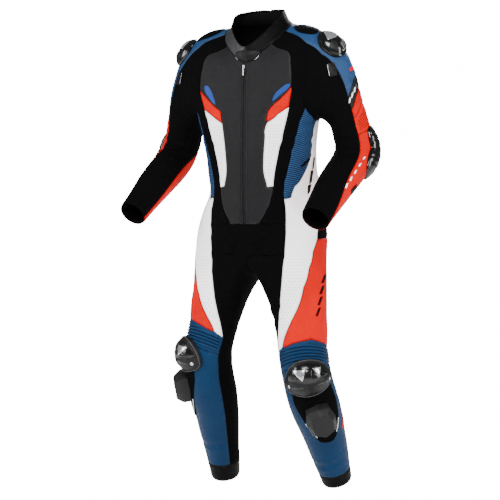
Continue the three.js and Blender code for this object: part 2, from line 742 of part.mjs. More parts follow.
// One panel of cloth as a closed wall. An accordion panel's cells are cut into narrow rows, and
// every second line of its outer points stands out as a rib.
function panelSolid(cells, normals, zipPoints, ribbed, half = WALL / 2) {
  const { offsets, border } = borderOffsets(cells, normals, zipPoints);
  const steps = ribbed ? RIBS_PER_CELL * 2 : 1;
  const positions = [];
  const faces = [];
  const made = new Map();
  const place = (index, side) => {
    const point = net.points[index].clone().addScaledVector(normals[index], side * half);
    if (offsets.has(index)) point.add(offsets.get(index));
    return point;
  };
  const pointOn = (from, to, step, side) => {
    let key = `${from}-${to}/${step}/${side}`;
    if (step === 0) key = `${from}/${side}`;
    if (step === steps) key = `${to}/${side}`;
    if (!made.has(key)) {
      const point = place(from, side).lerp(place(to, side), step / steps);
      const inside = !offsets.has(from) || !offsets.has(to);
      if (ribbed && side > 0 && step % 2 === 1 && inside) {
        const outward = normals[from].clone().lerp(normals[to], step / steps).normalize();
        point.addScaledVector(outward, RIB_HEIGHT);
      }
      positions.push(point);
      made.set(key, positions.length - 1);
    }
    return made.get(key);
  };
  const onBorder = new Set(border.map(([from, to]) => `${from}_${to}`));
  for (const cell of cells) {
    const [topLeft, lowLeft, lowRight, topRight] = cell.corners;
    const turned = cell.mirrored;
    const edgeIsOpen = (from, to) => onBorder.has(turned ? `${to}_${from}` : `${from}_${to}`);
    const face = (a, b, c, d, flip) => {
      if (flip) faces.push([a, c, b], [a, d, c]);
      else faces.push([a, b, c], [a, c, d]);
    };
    for (let step = 0; step < steps; step += 1) {
      const corner = (left, down, side) => (left
        ? pointOn(topLeft, lowLeft, step + down, side)
        : pointOn(topRight, lowRight, step + down, side));
      const outer = [corner(true, 0, 1), corner(true, 1, 1), corner(false, 1, 1), corner(false, 0, 1)];
      const inner = [corner(true, 0, -1), corner(true, 1, -1), corner(false, 1, -1), corner(false, 0, -1)];
      face(...outer, turned);
      face(...inner, !turned);
      const rim = (from, to) => {
        const ring = [outer[to], outer[from], inner[from], inner[to]];
        if (cell.corners[from] < cell.corners[to]) ring.push(ring.shift());
        face(...ring, turned);
      };
      if (edgeIsOpen(topLeft, lowLeft)) rim(0, 1);
      if (edgeIsOpen(lowRight, topRight)) rim(2, 3);
      if (step === steps - 1 && edgeIsOpen(lowLeft, lowRight)) rim(1, 2);
      if (step === 0 && edgeIsOpen(topRight, topLeft)) rim(3, 0);
    }
  }
  return solid(positions, faces);
}

// A strip of wall from two lines of edge points for each of its faces
function stripSolid(lines) {
  const positions = lines.flat();
  const count = lines[0].length;
  const faces = [];
  lines.forEach((line, side) => {
    const next = (side + 1) % lines.length;
    for (let step = 0; step < count - 1; step += 1) {
      const a = side * count + step;
      const b = next * count + step;
      faces.push([a, a + 1, b + 1], [a, b + 1, b]);
    }
  });
  const start = lines.map((line, side) => side * count);
  const end = start.map((index) => index + count - 1);
  for (let side = 1; side < lines.length - 1; side += 1) {
    faces.push([start[0], start[side], start[side + 1]], [end[0], end[side + 1], end[side]]);
  }
  return solid(positions, faces);
}

// Triangles of the cloth's middle surface, for finding the cloth under a hard piece
function clothTriangles() {
  return net.cells.flatMap((cell) => {
    const [a, b, c, d] = cell.corners.map((index) => net.points[index]);
    return [[a, b, c], [a, c, d]];
  });
}

// Where a straight line leaves the cloth
function clothHit(triangles, ray) {
  const hit = new THREE.Vector3();
  let farthest = null;
  let reach = 0;
  for (const [a, b, c] of triangles) {
    if (!ray.intersectTriangle(a, b, c, false, hit)) continue;
    const distance = hit.distanceTo(ray.origin);
    if (distance > reach) {
      reach = distance;
      farthest = hit.clone();
    }
  }
  if (!farthest) throw new Error('a hard piece reaches past the cloth');
  return farthest;
}

// Round plate over the cloth. rayOf gives the straight line that passes through a place in the
// plate's own plane, heightOf the plate's height over the cloth at a share of the way from the
// middle to the edge.
function plateSolid(cloth, rayOf, outline, heightOf, rings, mirrored) {
  const spokes = outline.length;
  const positions = [];
  const faces = [];
  const places = [];
  for (let ring = 0; ring <= rings; ring += 1) {
    const share = ring / rings;
    for (let spoke = 0; spoke < (ring === 0 ? 1 : spokes); spoke += 1) {
      const ray = rayOf(outline[spoke][0] * share, outline[spoke][1] * share);
      places.push({ ray, share, round: spoke / spokes, base: clothHit(cloth, ray) });
    }
  }
  const add = (raise) => places.forEach(({ ray, share, round, base }) => {
    positions.push(base.clone().addScaledVector(ray.direction, raise(share, round)));
  });
  add(heightOf);
  add(() => -PLATE_ROOT);
  const indexOf = (ring, spoke) => (ring === 0 ? 0 : 1 + (ring - 1) * spokes + (spoke % spokes));
  const face = (...corners) => faces.push(mirrored ? corners.reverse() : corners);
  for (let spoke = 0; spoke < spokes; spoke += 1) {
    for (let ring = 0; ring < rings; ring += 1) {
      const a = indexOf(ring, spoke);
      const b = indexOf(ring + 1, spoke);
      const c = indexOf(ring + 1, spoke + 1);
      const d = indexOf(ring, spoke + 1);
      const under = places.length;
      face(a, b, c);
      face(under + c, under + b, under + a);
      if (ring === 0) continue;
      face(a, c, d);
      face(under + d, under + c, under + a);
    }
    const b = indexOf(rings, spoke);
    const c = indexOf(rings, spoke + 1);
    face(b, b + places.length, c + places.length);
    face(b, c + places.length, c);
  }
  return solid(positions, faces);
}

// The cloth near a place as one block between two heights over the cloth's middle surface
function clothBlock(middle, reach, normals, top, bottom) {
  const cells = net.cells.filter((cell) => (
    cell.corners.some((index) => net.points[index].distanceTo(middle) < reach)
  ));
  const raised = new Set();
  for (const cell of cells) {
    if (cell.panel.includes('_ribs_')) cell.corners.forEach((index) => raised.add(index));
  }
  const positions = [];
  const faces = [];
  const made = new Map();
  const place = (index) => {
    if (!made.has(index)) {
      const lift = raised.has(index) ? RIB_ROOM : 0;
      for (const height of [top, bottom]) {
        positions.push(net.points[index].clone().addScaledVector(normals[index], height + lift));
      }
      made.set(index, positions.length - 2);
    }
    return made.get(index);
  };
  const edges = new Set(cells.flatMap((cell) => {
    const corners = orderedCorners(cell);
    return corners.map((corner, index) => `${corner}_${corners[(index + 1) % corners.length]}`);
  }));
  for (const cell of cells) {
    const [a, b, c, d] = cell.corners.map(place);
    const add = (...corners) => faces.push(cell.mirrored ? corners.reverse() : corners);
    add(a, b, c);
    add(a, c, d);
    add(a + 1, c + 1, b + 1);
    add(a + 1, d + 1, c + 1);
    const corners = orderedCorners(cell);
    corners.forEach((from, index) => {
      const to = corners[(index + 1) % corners.length];
      if (edges.has(`${to}_${from}`)) return;
      const [start, end] = [place(from), place(to)];
      faces.push([start, start + 1, end + 1], [start, end + 1, end]);
    });
  }
  return solid(positions, faces);
}

function toManifold(geometry) {
  const bare = geometry.clone();
  bare.deleteAttribute('normal');
  const merged = mergeVertices(bare, 1e-5);
  return new solids.Manifold(new solids.Mesh({
    numProp: 3,
    vertProperties: Float32Array.from(merged.getAttribute('position').array),
    triVerts: Uint32Array.from(merged.getIndex().array),
  }));
}

function fromManifold(body) {
  const mesh = body.getMesh();
  const geometry = new THREE.BufferGeometry();
  geometry.setAttribute('position', new THREE.Float32BufferAttribute(mesh.vertProperties, 3));
  geometry.setIndex(Array.from(mesh.triVerts));
  geometry.computeVertexNormals();
  return geometry;
}

// Cuts the given solids away and keeps the largest piece that is left. A thin piece is what it
// shares with an even layer over the cloth.
function cutFrom(geometry, cutters, layer) {
  let body = toManifold(geometry);
  if (layer) body = body.intersect(toManifold(layer));
  for (const cutter of cutters) body = body.subtract(toManifold(cutter));
  const pieces = body.decompose();
  pieces.sort((one, two) => two.volume() - one.volume());
  return fromManifold(pieces[0]);
}

// Closed outline through a few corner points, rounded, with as many spokes as asked. It runs
// anticlockwise for x to the viewer's right and y up.
function roundedOutline(corners, tension = 0.5, spokes = SPOKES) {
  const points = corners.map(([x, y]) => new THREE.Vector3(x, y, 0));
  const curve = new THREE.CatmullRomCurve3(points, true, 'catmullrom', tension);
  return curve.getSpacedPoints(spokes).slice(0, spokes).map((point) => [point.x, point.y]);
}

// Outward lines from the middle of a leg or sleeve, for a plate at an angle and a place along it.
// In the plate's plane x runs to the wearer's outer side and y up.
function tubeRays(tube, atAngle, along, radius) {
  return (x, y) => {
    const { middle, front, outer } = tube.frame(along - y);
    const turn = THREE.MathUtils.degToRad(atAngle) + x / radius;
    const direction = front.clone().multiplyScalar(Math.cos(turn)).addScaledVector(outer, Math.sin(turn));
    return new THREE.Ray(middle, direction.normalize());
  };
}

// Lines that spread from one point inside the shoulder
function shoulderRays(side, aim) {
  const start = new THREE.Vector3(side.sign * SHOULDER_MIDDLE[0], SHOULDER_MIDDLE[1], SHOULDER_MIDDLE[2]);
  const towards = new THREE.Vector3(side.sign * aim[0], aim[1], aim[2]).normalize();
  const across = new THREE.Vector3(side.sign, 0, 0)
    .addScaledVector(towards, -side.sign * towards.x).normalize();
  const upward = new THREE.Vector3().crossVectors(towards, across).multiplyScalar(side.sign).normalize();
  return (x, y) => {
    const direction = towards.clone().multiplyScalar(SHOULDER_REACH)
      .addScaledVector(across, x).addScaledVector(upward, y);
    return new THREE.Ray(start, direction.normalize());
  };
}

// Height of a dome: even at the middle, falling to its rim
function dome(rim, rise, power) {
  return (share) => rim + rise * (1 - share ** power);
}

const suit = new THREE.Group();
const trunk = buildTrunk();
buildCollar(trunk);
const crotchLine = crotchSeam.map(({ y, z }) => addPoint(new THREE.Vector3(0, y, z)));
const sleeves = {};
const legs = {};
for (const side of sides) {
  sleeves[side.name] = buildSleeve(trunk, side);
  legs[side.name] = buildLeg(trunk, crotchLine, side);
}

const eased = new Set();
for (const side of sides) {
  sleeves[side.name].slice(0, 4).flat().forEach((index) => eased.add(index));
  legs[side.name].slice(0, 4).flat().forEach((index) => eased.add(index));
}
relax(eased, 2, 0.5);

const firstNormals = pointNormals();
net.points.forEach((point, index) => point.addScaledVector(firstNormals[index], -foldDepth(point)));
const normals = pointNormals();

const zipPoints = new Set();
for (let row = 0; row <= FRONT_END; row += 1) zipPoints.add(trunk[row][0]);

const PANEL_MATERIALS = table(
  ['panel', 'material'],
  ['front', 'grey'], ['chest_stripe', 'red'], ['side_front', 'white'], ['band', 'black'],
  ['flank', 'navy'], ['hip', 'white'], ['back', 'black'], ['seat', 'black'], ['crotch', 'black'],
  ['shoulder', 'blue'], ['sleeve_band', 'slider'], ['sleeve_upper', 'red'], ['elbow_ribs', 'red'],
  ['forearm', 'red'], ['sleeve_inner', 'black'], ['inner_thigh', 'black'], ['thigh', 'red'],
  ['knee_ribs', 'navy'], ['shin', 'blue'], ['calf', 'black'], ['hem', 'black'],
  ['collar', 'black'],
);
const panelNames = [...new Set(net.cells.map((cell) => cell.panel))];
for (const name of panelNames) {
  const cells = net.cells.filter((cell) => cell.panel === name);
  const kind = name.replace(/_(left|right)$/, '');
  const { material } = PANEL_MATERIALS.find(({ panel }) => panel === kind);
  suit.add(makeMesh(name, panelSolid(cells, normals, zipPoints, kind.endsWith('ribs')), material));
}

// Hard and padded pieces on the outside. Sizes are half widths and half heights, or outlines.
const cloth = clothTriangles();

function addPlate(name, material, rayOf, outline, heightOf, { mirrored = false, over = [], thin = false }) {
  const middle = clothHit(cloth, rayOf(0, 0));
  const reach = Math.max(...outline.map(([x, y]) => Math.hypot(x, y))) + CUT_MARGIN;
  const blank = plateSolid(cloth, rayOf, outline, heightOf, PLATE_RINGS, mirrored);
  const face = WALL / 2 + SEAM_GAP;
  const cutters = [clothBlock(middle, reach, normals, face, -CUT_DEPTH), ...over];
  const layer = thin ? clothBlock(middle, reach, normals, face + THIN_PLATE, 0) : null;
  suit.add(makeMesh(name, cutFrom(blank, cutters, layer), material));
}

// A panel with a thicker wall, to cut a plate that would touch it
function grownPanel(name) {
  const cells = net.cells.filter((cell) => cell.panel === name);
  return panelSolid(cells, normals, zipPoints, name.includes('_ribs_'), WALL / 2 + SEAM_GAP * 2);
}

function addShoulderPieces(side) {
  for (const { piece, aim, width, depth, rim, rise, thin, material } of shoulderPieces) {
    const options = { mirrored: side.sign < 0, thin };
    const outline = roundedOutline([[width, -depth * 0.5], [width * 0.7, depth * 0.8], [0, depth],
      [-width * 0.8, depth * 0.7], [-width, -depth * 0.2], [-width * 0.5, -depth * 0.9],
      [width * 0.5, -depth]]);
    const height = dome(rim, rise, 2.4);
    addPlate(`${piece}_${side.name}`, material, shoulderRays(side, aim), outline, height, options);
  }
}

function addSleevePieces(side) {
  const tube = sleeveTube(side);
  for (const { piece, angle, along, width, depth, rim, rise, radius, material } of sleevePieces) {
    const outline = roundedOutline([[width, 0], [width * 0.85, depth * 0.8], [0, depth],
      [-width * 0.85, depth * 0.8], [-width, 0], [-width * 0.75, -depth * 0.85], [0, -depth],
      [width * 0.75, -depth * 0.85]]);
    addPlate(`${piece}_${side.name}`, material, tubeRays(tube, angle, along, radius), outline,
      dome(rim, rise, 2.4), { mirrored: side.sign < 0 });
  }
}

// The knee's black base is cut away round the shell and the slider that stand over it
function addKneePieces(side) {
  const tube = legTube(side);
  const mirrored = side.sign < 0;
  const at = (angle, belowKnee) => tubeRays(tube, angle, tube.upper + belowKnee, KNEE_RADIUS);
  const grown = (outline) => outline.map(([x, y]) => [x * KNEE_CLEARANCE, y * KNEE_CLEARANCE]);
  const blankOf = (rays, outline, heightOf) => (
    plateSolid(cloth, rays, outline, heightOf, PLATE_RINGS, mirrored));
  const shell = { rays: at(side.kneeTurn, KNEE_SHELL.drop), outline: roundedOutline(KNEE_SHELL.outline) };
  const slider = {
    rays: at(side.puckTurn, side.puckDrop),
    outline: roundedOutline(KNEE_SLIDER.outline, 0.2),
  };
  const shellHeight = dome(KNEE_SHELL.rim, KNEE_SHELL.rise, 2.2);
  const sliderHeight = (share) => KNEE_SLIDER.rim + KNEE_SLIDER.rise * Math.min(1, (1 - share) * 2);
  addPlate(`knee_shell_${side.name}`, 'shell', shell.rays, shell.outline, shellHeight,
    { mirrored, over: [grownPanel(`knee_ribs_${side.name}`)] });
  const shellRoom = blankOf(shell.rays, grown(shell.outline), (share) => shellHeight(share) + 1);
  addPlate(`knee_slider_${side.name}`, 'slider', slider.rays, slider.outline, sliderHeight,
    { mirrored, over: [shellRoom] });
  const sliderRoom = blankOf(slider.rays, grown(slider.outline), (share) => sliderHeight(share) + 1);
  const baseRays = at(side.puckTurn, KNEE_BASE.drop);
  addPlate(`knee_base_${side.name}`, 'black', baseRays, roundedOutline(KNEE_BASE.outline, 0.4),
    () => THIN_BLANK, { mirrored, over: [shellRoom, sliderRoom], thin: true });
}

for (const side of sides) {
  addShoulderPieces(side);
  addSleevePieces(side);
  addKneePieces(side);
}

// Zip: the tape fills the space between the two fronts
const TAPE_CORNERS = [[1, 1], [1, -1], [-1, -1], [-1, 1]]; // across and outward

function zipTape(half = WALL / 2) {
  const count = FRONT_END + 1;
  const lines = TAPE_CORNERS.map(() => []);
  for (let row = 0; row < count; row += 1) {
    const index = trunk[row][0];
    const point = net.points[index].clone();
    const other = net.points[trunk[row === 0 ? 1 : row - 1][0]];
    if (row === 0 || row === count - 1) {
      point.add(new THREE.Vector3().subVectors(other, point).setLength(SEAM_GAP));
    }
    TAPE_CORNERS.forEach(([across, outward], line) => {
      const corner = point.clone().addScaledVector(normals[index], outward * half);
      corner.x = across * ZIP_WIDTH / 2;
      lines[line].push(corner);
    });
  }
  return stripSolid(lines);
}
suit.add(makeMesh('zip_tape', zipTape(), 'black'));

// Collar tab: a half-moon over the front of the collar
const tabRays = (x, y) => new THREE.Ray(
  new THREE.Vector3(COLLAR_TAB.middle[0] + x, 0, COLLAR_TAB.middle[1] + y),
  new THREE.Vector3(0, -1, 0),
);
const tabNeighbours = ['front_left', 'front_right', 'collar_left', 'collar_right'].map(grownPanel);
addPlate('collar_tab', 'slider', tabRays, roundedOutline(COLLAR_TAB.outline, 0.3), () => COLLAR_TAB.height,
  { over: [...tabNeighbours, zipTape(WALL / 2 + SEAM_GAP * 2)] });

// The slider stands in front of the tape, and the pull hangs from its face
function zipFace(z) {
  const ray = new THREE.Ray(new THREE.Vector3(0, 0, z), new THREE.Vector3(0, -1, 0));
  return clothHit(cloth, ray).y - WALL / 2;
}
const pullEnd = ZIP_PULL.top - ZIP_PULL.length;
const zipLean = Math.atan2(zipFace(pullEnd) - zipFace(ZIP_PULL.top), ZIP_PULL.length);

function onZip(geometry, z, lift) {
  geometry.rotateX(zipLean);
  geometry.translate(0, zipFace(z) - lift, z);
  return geometry;
}
const sliderBox = new THREE.BoxGeometry(ZIP_SLIDER.width, ZIP_SLIDER.thick, ZIP_SLIDER.height);
suit.add(makeMesh('zip_slider', onZip(sliderBox, ZIP_SLIDER.z, ZIP_SLIDER.thick / 2 + ZIP_GAP), 'steel'));

// The pull turns about its own top end, just clear of the slider's face
function pullOutline() {
  const half = ZIP_PULL.width / 2;
  const shape = new THREE.Shape();
  shape.moveTo(half * 0.7, ZIP_PULL.thick / 2);
  shape.lineTo(-half * 0.7, ZIP_PULL.thick / 2);
  shape.lineTo(-half, half - ZIP_PULL.length);
  shape.absarc(0, half - ZIP_PULL.length, half, Math.PI, Math.PI * 2);
  shape.closePath();
  return shape;
}
const pull = new THREE.ExtrudeGeometry(pullOutline(), {
  depth: ZIP_PULL.thick, bevelEnabled: false, curveSegments: 6,
});
pull.rotateX(Math.PI / 2);
pull.translate(0, -ZIP_SLIDER.thick - ZIP_GAP - ZIP_PULL.clearance, 0);
suit.add(makeMesh('zip_pull', onZip(pull, ZIP_PULL.top, 0), 'steel'));

export default suit;
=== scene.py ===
"""Motorcycle race suit: sewn cloth panels, armour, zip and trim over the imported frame."""
import math

import bmesh
import bpy
import numpy as np
from mathutils import Euler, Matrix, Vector, noise
from mathutils.bvhtree import BVHTree
from mathutils.kdtree import KDTree


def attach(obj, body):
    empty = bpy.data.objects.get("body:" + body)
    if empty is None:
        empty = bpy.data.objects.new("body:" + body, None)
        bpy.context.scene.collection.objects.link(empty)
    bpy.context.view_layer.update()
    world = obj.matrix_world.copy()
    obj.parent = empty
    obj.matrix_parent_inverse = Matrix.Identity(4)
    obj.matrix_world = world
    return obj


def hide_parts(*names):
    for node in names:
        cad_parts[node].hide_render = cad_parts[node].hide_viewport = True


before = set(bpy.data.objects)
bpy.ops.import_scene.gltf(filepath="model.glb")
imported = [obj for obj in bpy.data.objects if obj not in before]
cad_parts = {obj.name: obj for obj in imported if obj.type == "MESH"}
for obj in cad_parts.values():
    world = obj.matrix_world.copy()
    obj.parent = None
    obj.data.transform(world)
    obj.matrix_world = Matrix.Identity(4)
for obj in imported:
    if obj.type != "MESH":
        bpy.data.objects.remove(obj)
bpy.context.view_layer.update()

bl_info = {
    "name": "Race suit",
    "version": (1, 0, 0),
    "blender": (4, 5, 0),
    "location": "3D View > Sidebar > Race suit",
    "description": "Builds the cloth, armour, zip and trim of a one-piece race suit over its frame",
    "category": "Add Mesh",
}

MM = 0.001
CAMERA_PLACE = Vector((1.8058, -3.5970, -0.4541))
CAMERA_TURN = Euler((math.radians(87.4), 0.0, math.radians(27.0)))
CAMERA_LENS = 95.98
SENSOR = 36.0
PICTURE = 500
# How bright the camera sees the floor and the world, so that they come out white
BACKDROP = 16.0


# Settings

def colour(name, description, default):
    return bpy.props.FloatVectorProperty(
        name=name, description=description, default=default, subtype="COLOR", min=0.0, max=1.0)


def size(name, description, default):
    return bpy.props.FloatProperty(
        name=name, description=description, default=default, unit="LENGTH", min=0.0)


class SuitColours(bpy.types.PropertyGroup):
    grey: colour("Grey leather", "Front panels and the band round each sleeve", (0.0072, 0.0072, 0.0080))
    white: colour("White leather", "Side and hip panels", (0.97, 0.97, 0.98))
    red: colour("Red leather", "Sleeves, thighs and chest stripes", (0.43, 0.0004, 0.0))
    blue: colour("Shoulder blue", "Blue leather on the shoulders", (0.006, 0.031, 0.092))
    deep_blue: colour("Shin blue", "Blue leather on the shins and accordion panels", (0.001, 0.018, 0.054))
    accent_blue: colour("Accent blue", "Blue leaves on the chest", (0.001, 0.028, 0.16))
    navy: colour("Navy stretch", "Ground of the flank panels", (0.001, 0.004, 0.014))
    line_blue: colour("Light blue lines", "Fine lines woven in the flank panels", (0.010, 0.062, 0.17))
    black: colour("Black leather", "Collar, hems and trim", (0.0012, 0.0012, 0.0014))
    stretch: colour("Black stretch", "Matt stretch cloth", (0.0007, 0.0007, 0.0009))
    gloss: colour("Gloss armour", "Shoulder cups, elbow guards and knee shells", (0.002, 0.002, 0.0022))
    moulded: colour("Moulded grey", "Knee sliders and tabs", (0.0048, 0.0048, 0.0053))
    # Polished metal for trim, screws and tab edges; the plates of the shoulder cups and knee shells use it as
    # a painted reflection of the gloss armour
    polished: colour("Polished insert", "Plates let into the armour", (0.50, 0.51, 0.53))


class SuitSizes(bpy.types.PropertyGroup):
    wall: size("Cloth thickness", "Thickness of leather and stretch cloth", 0.0015)
    seam_depth: size("Seam depth", "How far a seam is drawn in", 0.0011)
    seam_width: size("Seam width", "Half width of the dip at a seam", 0.0032)
    stitch_offset: size("Stitch offset", "Distance of the topstitching from its seam", 0.0034)
    stitch_pitch: size("Stitch length", "From one stitch to the next", 0.0042)
    rib_height: size("Rib height", "How far the accordion ribs stand out", 0.0040)


def colours():
    return bpy.context.scene.suit_colours


def sizes():
    return bpy.context.scene.suit_sizes


# Node trees

def node(tree, kind, **settings):
    made = tree.nodes.new(kind)
    for name, value in settings.items():
        setattr(made, name, value)
    return made


def put(tree, value, socket):
    """Links a socket, or sets a plain value, on an input socket."""
    if isinstance(value, bpy.types.NodeSocket):
        tree.links.new(value, socket)
    else:
        socket.default_value = value


def calc(tree, operation, *values):
    made = node(tree, "ShaderNodeMath", operation=operation)
    for value, socket in zip(values, made.inputs):
        put(tree, value, socket)
    return made.outputs[0]


def between(tree, value, low, high, out_low=0.0, out_high=1.0):
    """Smooth step of a value from one range to another."""
    made = node(tree, "ShaderNodeMapRange", interpolation_type="SMOOTHSTEP")
    for item, socket in zip((value, low, high, out_low, out_high), made.inputs):
        put(tree, item, socket)
    return made.outputs[0]


def blend_colours(tree, share, first, second):
    """From the first colour to the second, by a share."""
    made = node(tree, "ShaderNodeMix", data_type="RGBA")
    put(tree, share, made.inputs["Factor"])
    put(tree, first, made.inputs[6])
    put(tree, second, made.inputs[7])
    return made.outputs[2]


def full(values):
    """A colour with its alpha, for a socket."""
    return (*values[:3], 1.0)


def split(tree, vector):
    made = node(tree, "ShaderNodeSeparateXYZ")
    put(tree, vector, made.inputs[0])
    return made.outputs


def place_output(tree):
    return node(tree, "ShaderNodeTexCoord").outputs["Object"]


def clouds(tree, place, scale, **levels):
    """Noise at a place. Keyword names stand for the node's inputs."""
    made = node(tree, "ShaderNodeTexNoise")
    put(tree, place, made.inputs["Vector"])
    put(tree, scale, made.inputs["Scale"])
    for name, value in levels.items():
        made.inputs[name].default_value = value
    return made.outputs[0]


def off_middle(tree, value, pitch):
    """How far a value is from the middle of its step, where a step is one pitch."""
    phase = calc(tree, "FRACT", calc(tree, "DIVIDE", value, pitch))
    return calc(tree, "ABSOLUTE", calc(tree, "SUBTRACT", phase, 0.5))


def length_of(tree, first, second):
    """Length of the hypotenuse over two sides."""
    squares = calc(tree, "ADD", calc(tree, "MULTIPLY", first, first), calc(tree, "MULTIPLY", second, second))
    return calc(tree, "SQRT", squares)


def effect(name, inputs, outputs, build):
    """A node group with named sockets, made once."""
    tree = bpy.data.node_groups.get(name)
    if tree is None:
        tree = bpy.data.node_groups.new(name, "ShaderNodeTree")
        for socket, default in inputs.items():
            made = tree.interface.new_socket(socket, in_out="INPUT", socket_type="NodeSocketFloat")
            made.default_value = default
        for socket in outputs:
            tree.interface.new_socket(socket, in_out="OUTPUT", socket_type="NodeSocketFloat")
        start = node(tree, "NodeGroupInput")
        end = node(tree, "NodeGroupOutput")
        results = build(tree, start.outputs)
        for socket in outputs:
            tree.links.new(results[socket], end.inputs[socket])
    return tree


def use(tree, group, **values):
    """Places a group in a tree. Keyword names stand for its inputs, with _ for a space."""
    made = node(tree, "ShaderNodeGroup", node_tree=group)
    for name, value in values.items():
        put(tree, value, made.inputs[name.replace("_", " ")])
    return made.outputs


def leather_grain():
    """Pebbled grain, fine creases and slow changes of shade."""
    def build(tree, given):
        place = place_output(tree)
        pebble = node(tree, "ShaderNodeTexVoronoi", feature="DISTANCE_TO_EDGE")
        put(tree, place, pebble.inputs["Vector"])
        put(tree, given["Pebbles"], pebble.inputs["Scale"])
        crease = clouds(tree, place, given["Creases"], Detail=5.0, Roughness=0.62)
        slow = clouds(tree, place, 7.0, Detail=3.0)
        pebbles = between(tree, pebble.outputs["Distance"], 0.0, 0.22)
        height = calc(tree, "MULTIPLY_ADD", pebbles, 0.00012, calc(tree, "MULTIPLY", crease, 0.0011))
        return {"Height": height, "Shade": between(tree, slow, 0.3, 0.7), "Fine": crease}
    return effect("Leather grain", {"Pebbles": 620.0, "Creases": 55.0}, ("Height", "Shade", "Fine"), build)


def knit():
    """Two-way stretch knit: fine ribs crossed by short floats, on slightly uneven cloth."""
    def build(tree, given):
        place = place_output(tree)
        threads = []
        for direction, distortion in (("DIAGONAL", 1.5), ("Z", 0.0)):
            wave = node(tree, "ShaderNodeTexWave", bands_direction=direction)
            put(tree, place, wave.inputs["Vector"])
            put(tree, given["Threads"], wave.inputs["Scale"])
            wave.inputs["Distortion"].default_value = distortion
            threads.append(wave.outputs["Fac"])
        slow = clouds(tree, place, 14.0, Detail=4.0)
        weave = calc(tree, "MULTIPLY", *threads)
        height = calc(tree, "MULTIPLY_ADD", weave, 0.0003, calc(tree, "MULTIPLY", slow, 0.0012))
        return {"Height": height, "Shade": weave, "Fine": slow}
    return effect("Stretch knit", {"Threads": 160.0}, ("Height", "Shade", "Fine"), build)


def topstitch():
    """A line of stitches beside a seam, from the distance to the seam and the way along it."""
    def build(tree, given):
        off = calc(tree, "ABSOLUTE", calc(tree, "SUBTRACT", given["Distance"], given["Offset"]))
        line = between(tree, off, 0.00035, 0.0008, 1.0, 0.0)
        dash = between(tree, off_middle(tree, given["Run"], given["Pitch"]), 0.3, 0.42, 1.0, 0.0)
        thread = calc(tree, "MULTIPLY", line, dash)
        channel = calc(tree, "MULTIPLY", between(tree, off, 0.0004, 0.0016, 1.0, 0.0), 0.0004)
        height = calc(tree, "SUBTRACT", calc(tree, "MULTIPLY", thread, 0.0005), channel)
        return {"Thread": thread, "Height": height}
    defaults = {"Distance": 0.1, "Run": 0.0, "Offset": 0.0034, "Pitch": 0.0042}
    return effect("Topstitching", defaults, ("Thread", "Height"), build)


def seam_shade_and_wear():
    """Painted shade, darker at the fold of a seam, and wear, rubbed a little lighter just beside it."""
    def build(tree, given):
        shadow = between(tree, given["Distance"], 0.0002, 0.0022, 1.0, 0.0)
        near = between(tree, given["Distance"], 0.002, 0.009, 1.0, 0.0)
        patch = clouds(tree, place_output(tree), 45.0)
        return {"Shadow": shadow, "Rubbed": calc(tree, "MULTIPLY", near, between(tree, patch, 0.5, 0.7))}
    return effect("Seam wear", {"Distance": 0.1}, ("Shadow", "Rubbed"), build)


def perforation():
    """Staggered rows of round holes, from a place on the flat cloth."""
    def build(tree, given):
        def off_hole(steps):
            return calc(tree, "SUBTRACT", calc(tree, "FRACT", calc(tree, "ADD", steps, 1000.0)), 0.5)
        row = calc(tree, "DIVIDE", given["Up"], given["Spacing"])
        odd = calc(tree, "MODULO", calc(tree, "FLOOR", calc(tree, "ADD", row, 1000.0)), 2.0)
        across = calc(tree, "ADD", calc(tree, "DIVIDE", given["Across"], given["Spacing"]),
                      calc(tree, "MULTIPLY", odd, 0.5))
        far = length_of(tree, off_hole(across), off_hole(row))
        rim = calc(tree, "ADD", given["Radius"], 0.07)
        return {"Hole": between(tree, far, given["Radius"], rim, 1.0, 0.0)}
    defaults = {"Across": 0.0, "Up": 0.0, "Spacing": 0.008, "Radius": 0.13}
    return effect("Perforation", defaults, ("Hole",), build)


def rising_lines():
    """Curved fine lines that rise to the back of the suit, at an even spacing."""
    def build(tree, given):
        _, y, z = split(tree, place_output(tree))
        across = calc(tree, "SUBTRACT", y, given["Back"])
        up = calc(tree, "SUBTRACT", z, given["High"])
        far = calc(tree, "SQRT", calc(tree, "ADD", calc(tree, "MULTIPLY", across, across),
                                      calc(tree, "MULTIPLY", calc(tree, "MULTIPLY", up, up), 1.6)))
        return {"Line": between(tree, off_middle(tree, far, given["Spacing"]), 0.1, 0.24, 1.0, 0.0)}
    defaults = {"Back": -0.22, "High": -0.02, "Spacing": 0.0068}
    return effect("Rising lines", defaults, ("Line",), build)


def armour_wear():
    """Fine scuffs and specks for moulded plastic."""
    def build(tree, given):
        place = place_output(tree)
        scuff = clouds(tree, place, given["Scuffs"], Detail=6.0, Roughness=0.7)
        speck = clouds(tree, place, 700.0)
        return {"Scuff": between(tree, scuff, 0.52, 0.72), "Height": calc(tree, "MULTIPLY", speck, 0.00012)}
    return effect("Armour wear", {"Scuffs": 60.0}, ("Scuff", "Height"), build)


# Materials

def blank_material(name, roughness, **values):
    """A material with one shader. Keyword names stand for its inputs, with _ for a space."""
    made = bpy.data.materials.new(name)
    made.use_nodes = True
    tree = made.node_tree
    tree.nodes.clear()
    shader = node(tree, "ShaderNodeBsdfPrincipled")
    shader.inputs["Roughness"].default_value = roughness
    for socket, value in values.items():
        shader.inputs[socket.replace("_", " ")].default_value = value
    tree.links.new(shader.outputs[0], node(tree, "ShaderNodeOutputMaterial").inputs["Surface"])
    return made, tree, shader


def dress(tree, shader, base, rough, height, strength):
    """Links colour, roughness and relief to a shader. Roughness is a value, its factor and its start."""
    tree.links.new(base, shader.inputs["Base Color"])
    tree.links.new(calc(tree, "MULTIPLY_ADD", *rough), shader.inputs["Roughness"])
    relief = node(tree, "ShaderNodeBump")
    relief.inputs["Strength"].default_value = strength
    relief.inputs["Distance"].default_value = 1.0
    tree.links.new(height, relief.inputs["Height"])
    tree.links.new(relief.outputs[0], shader.inputs["Normal"])


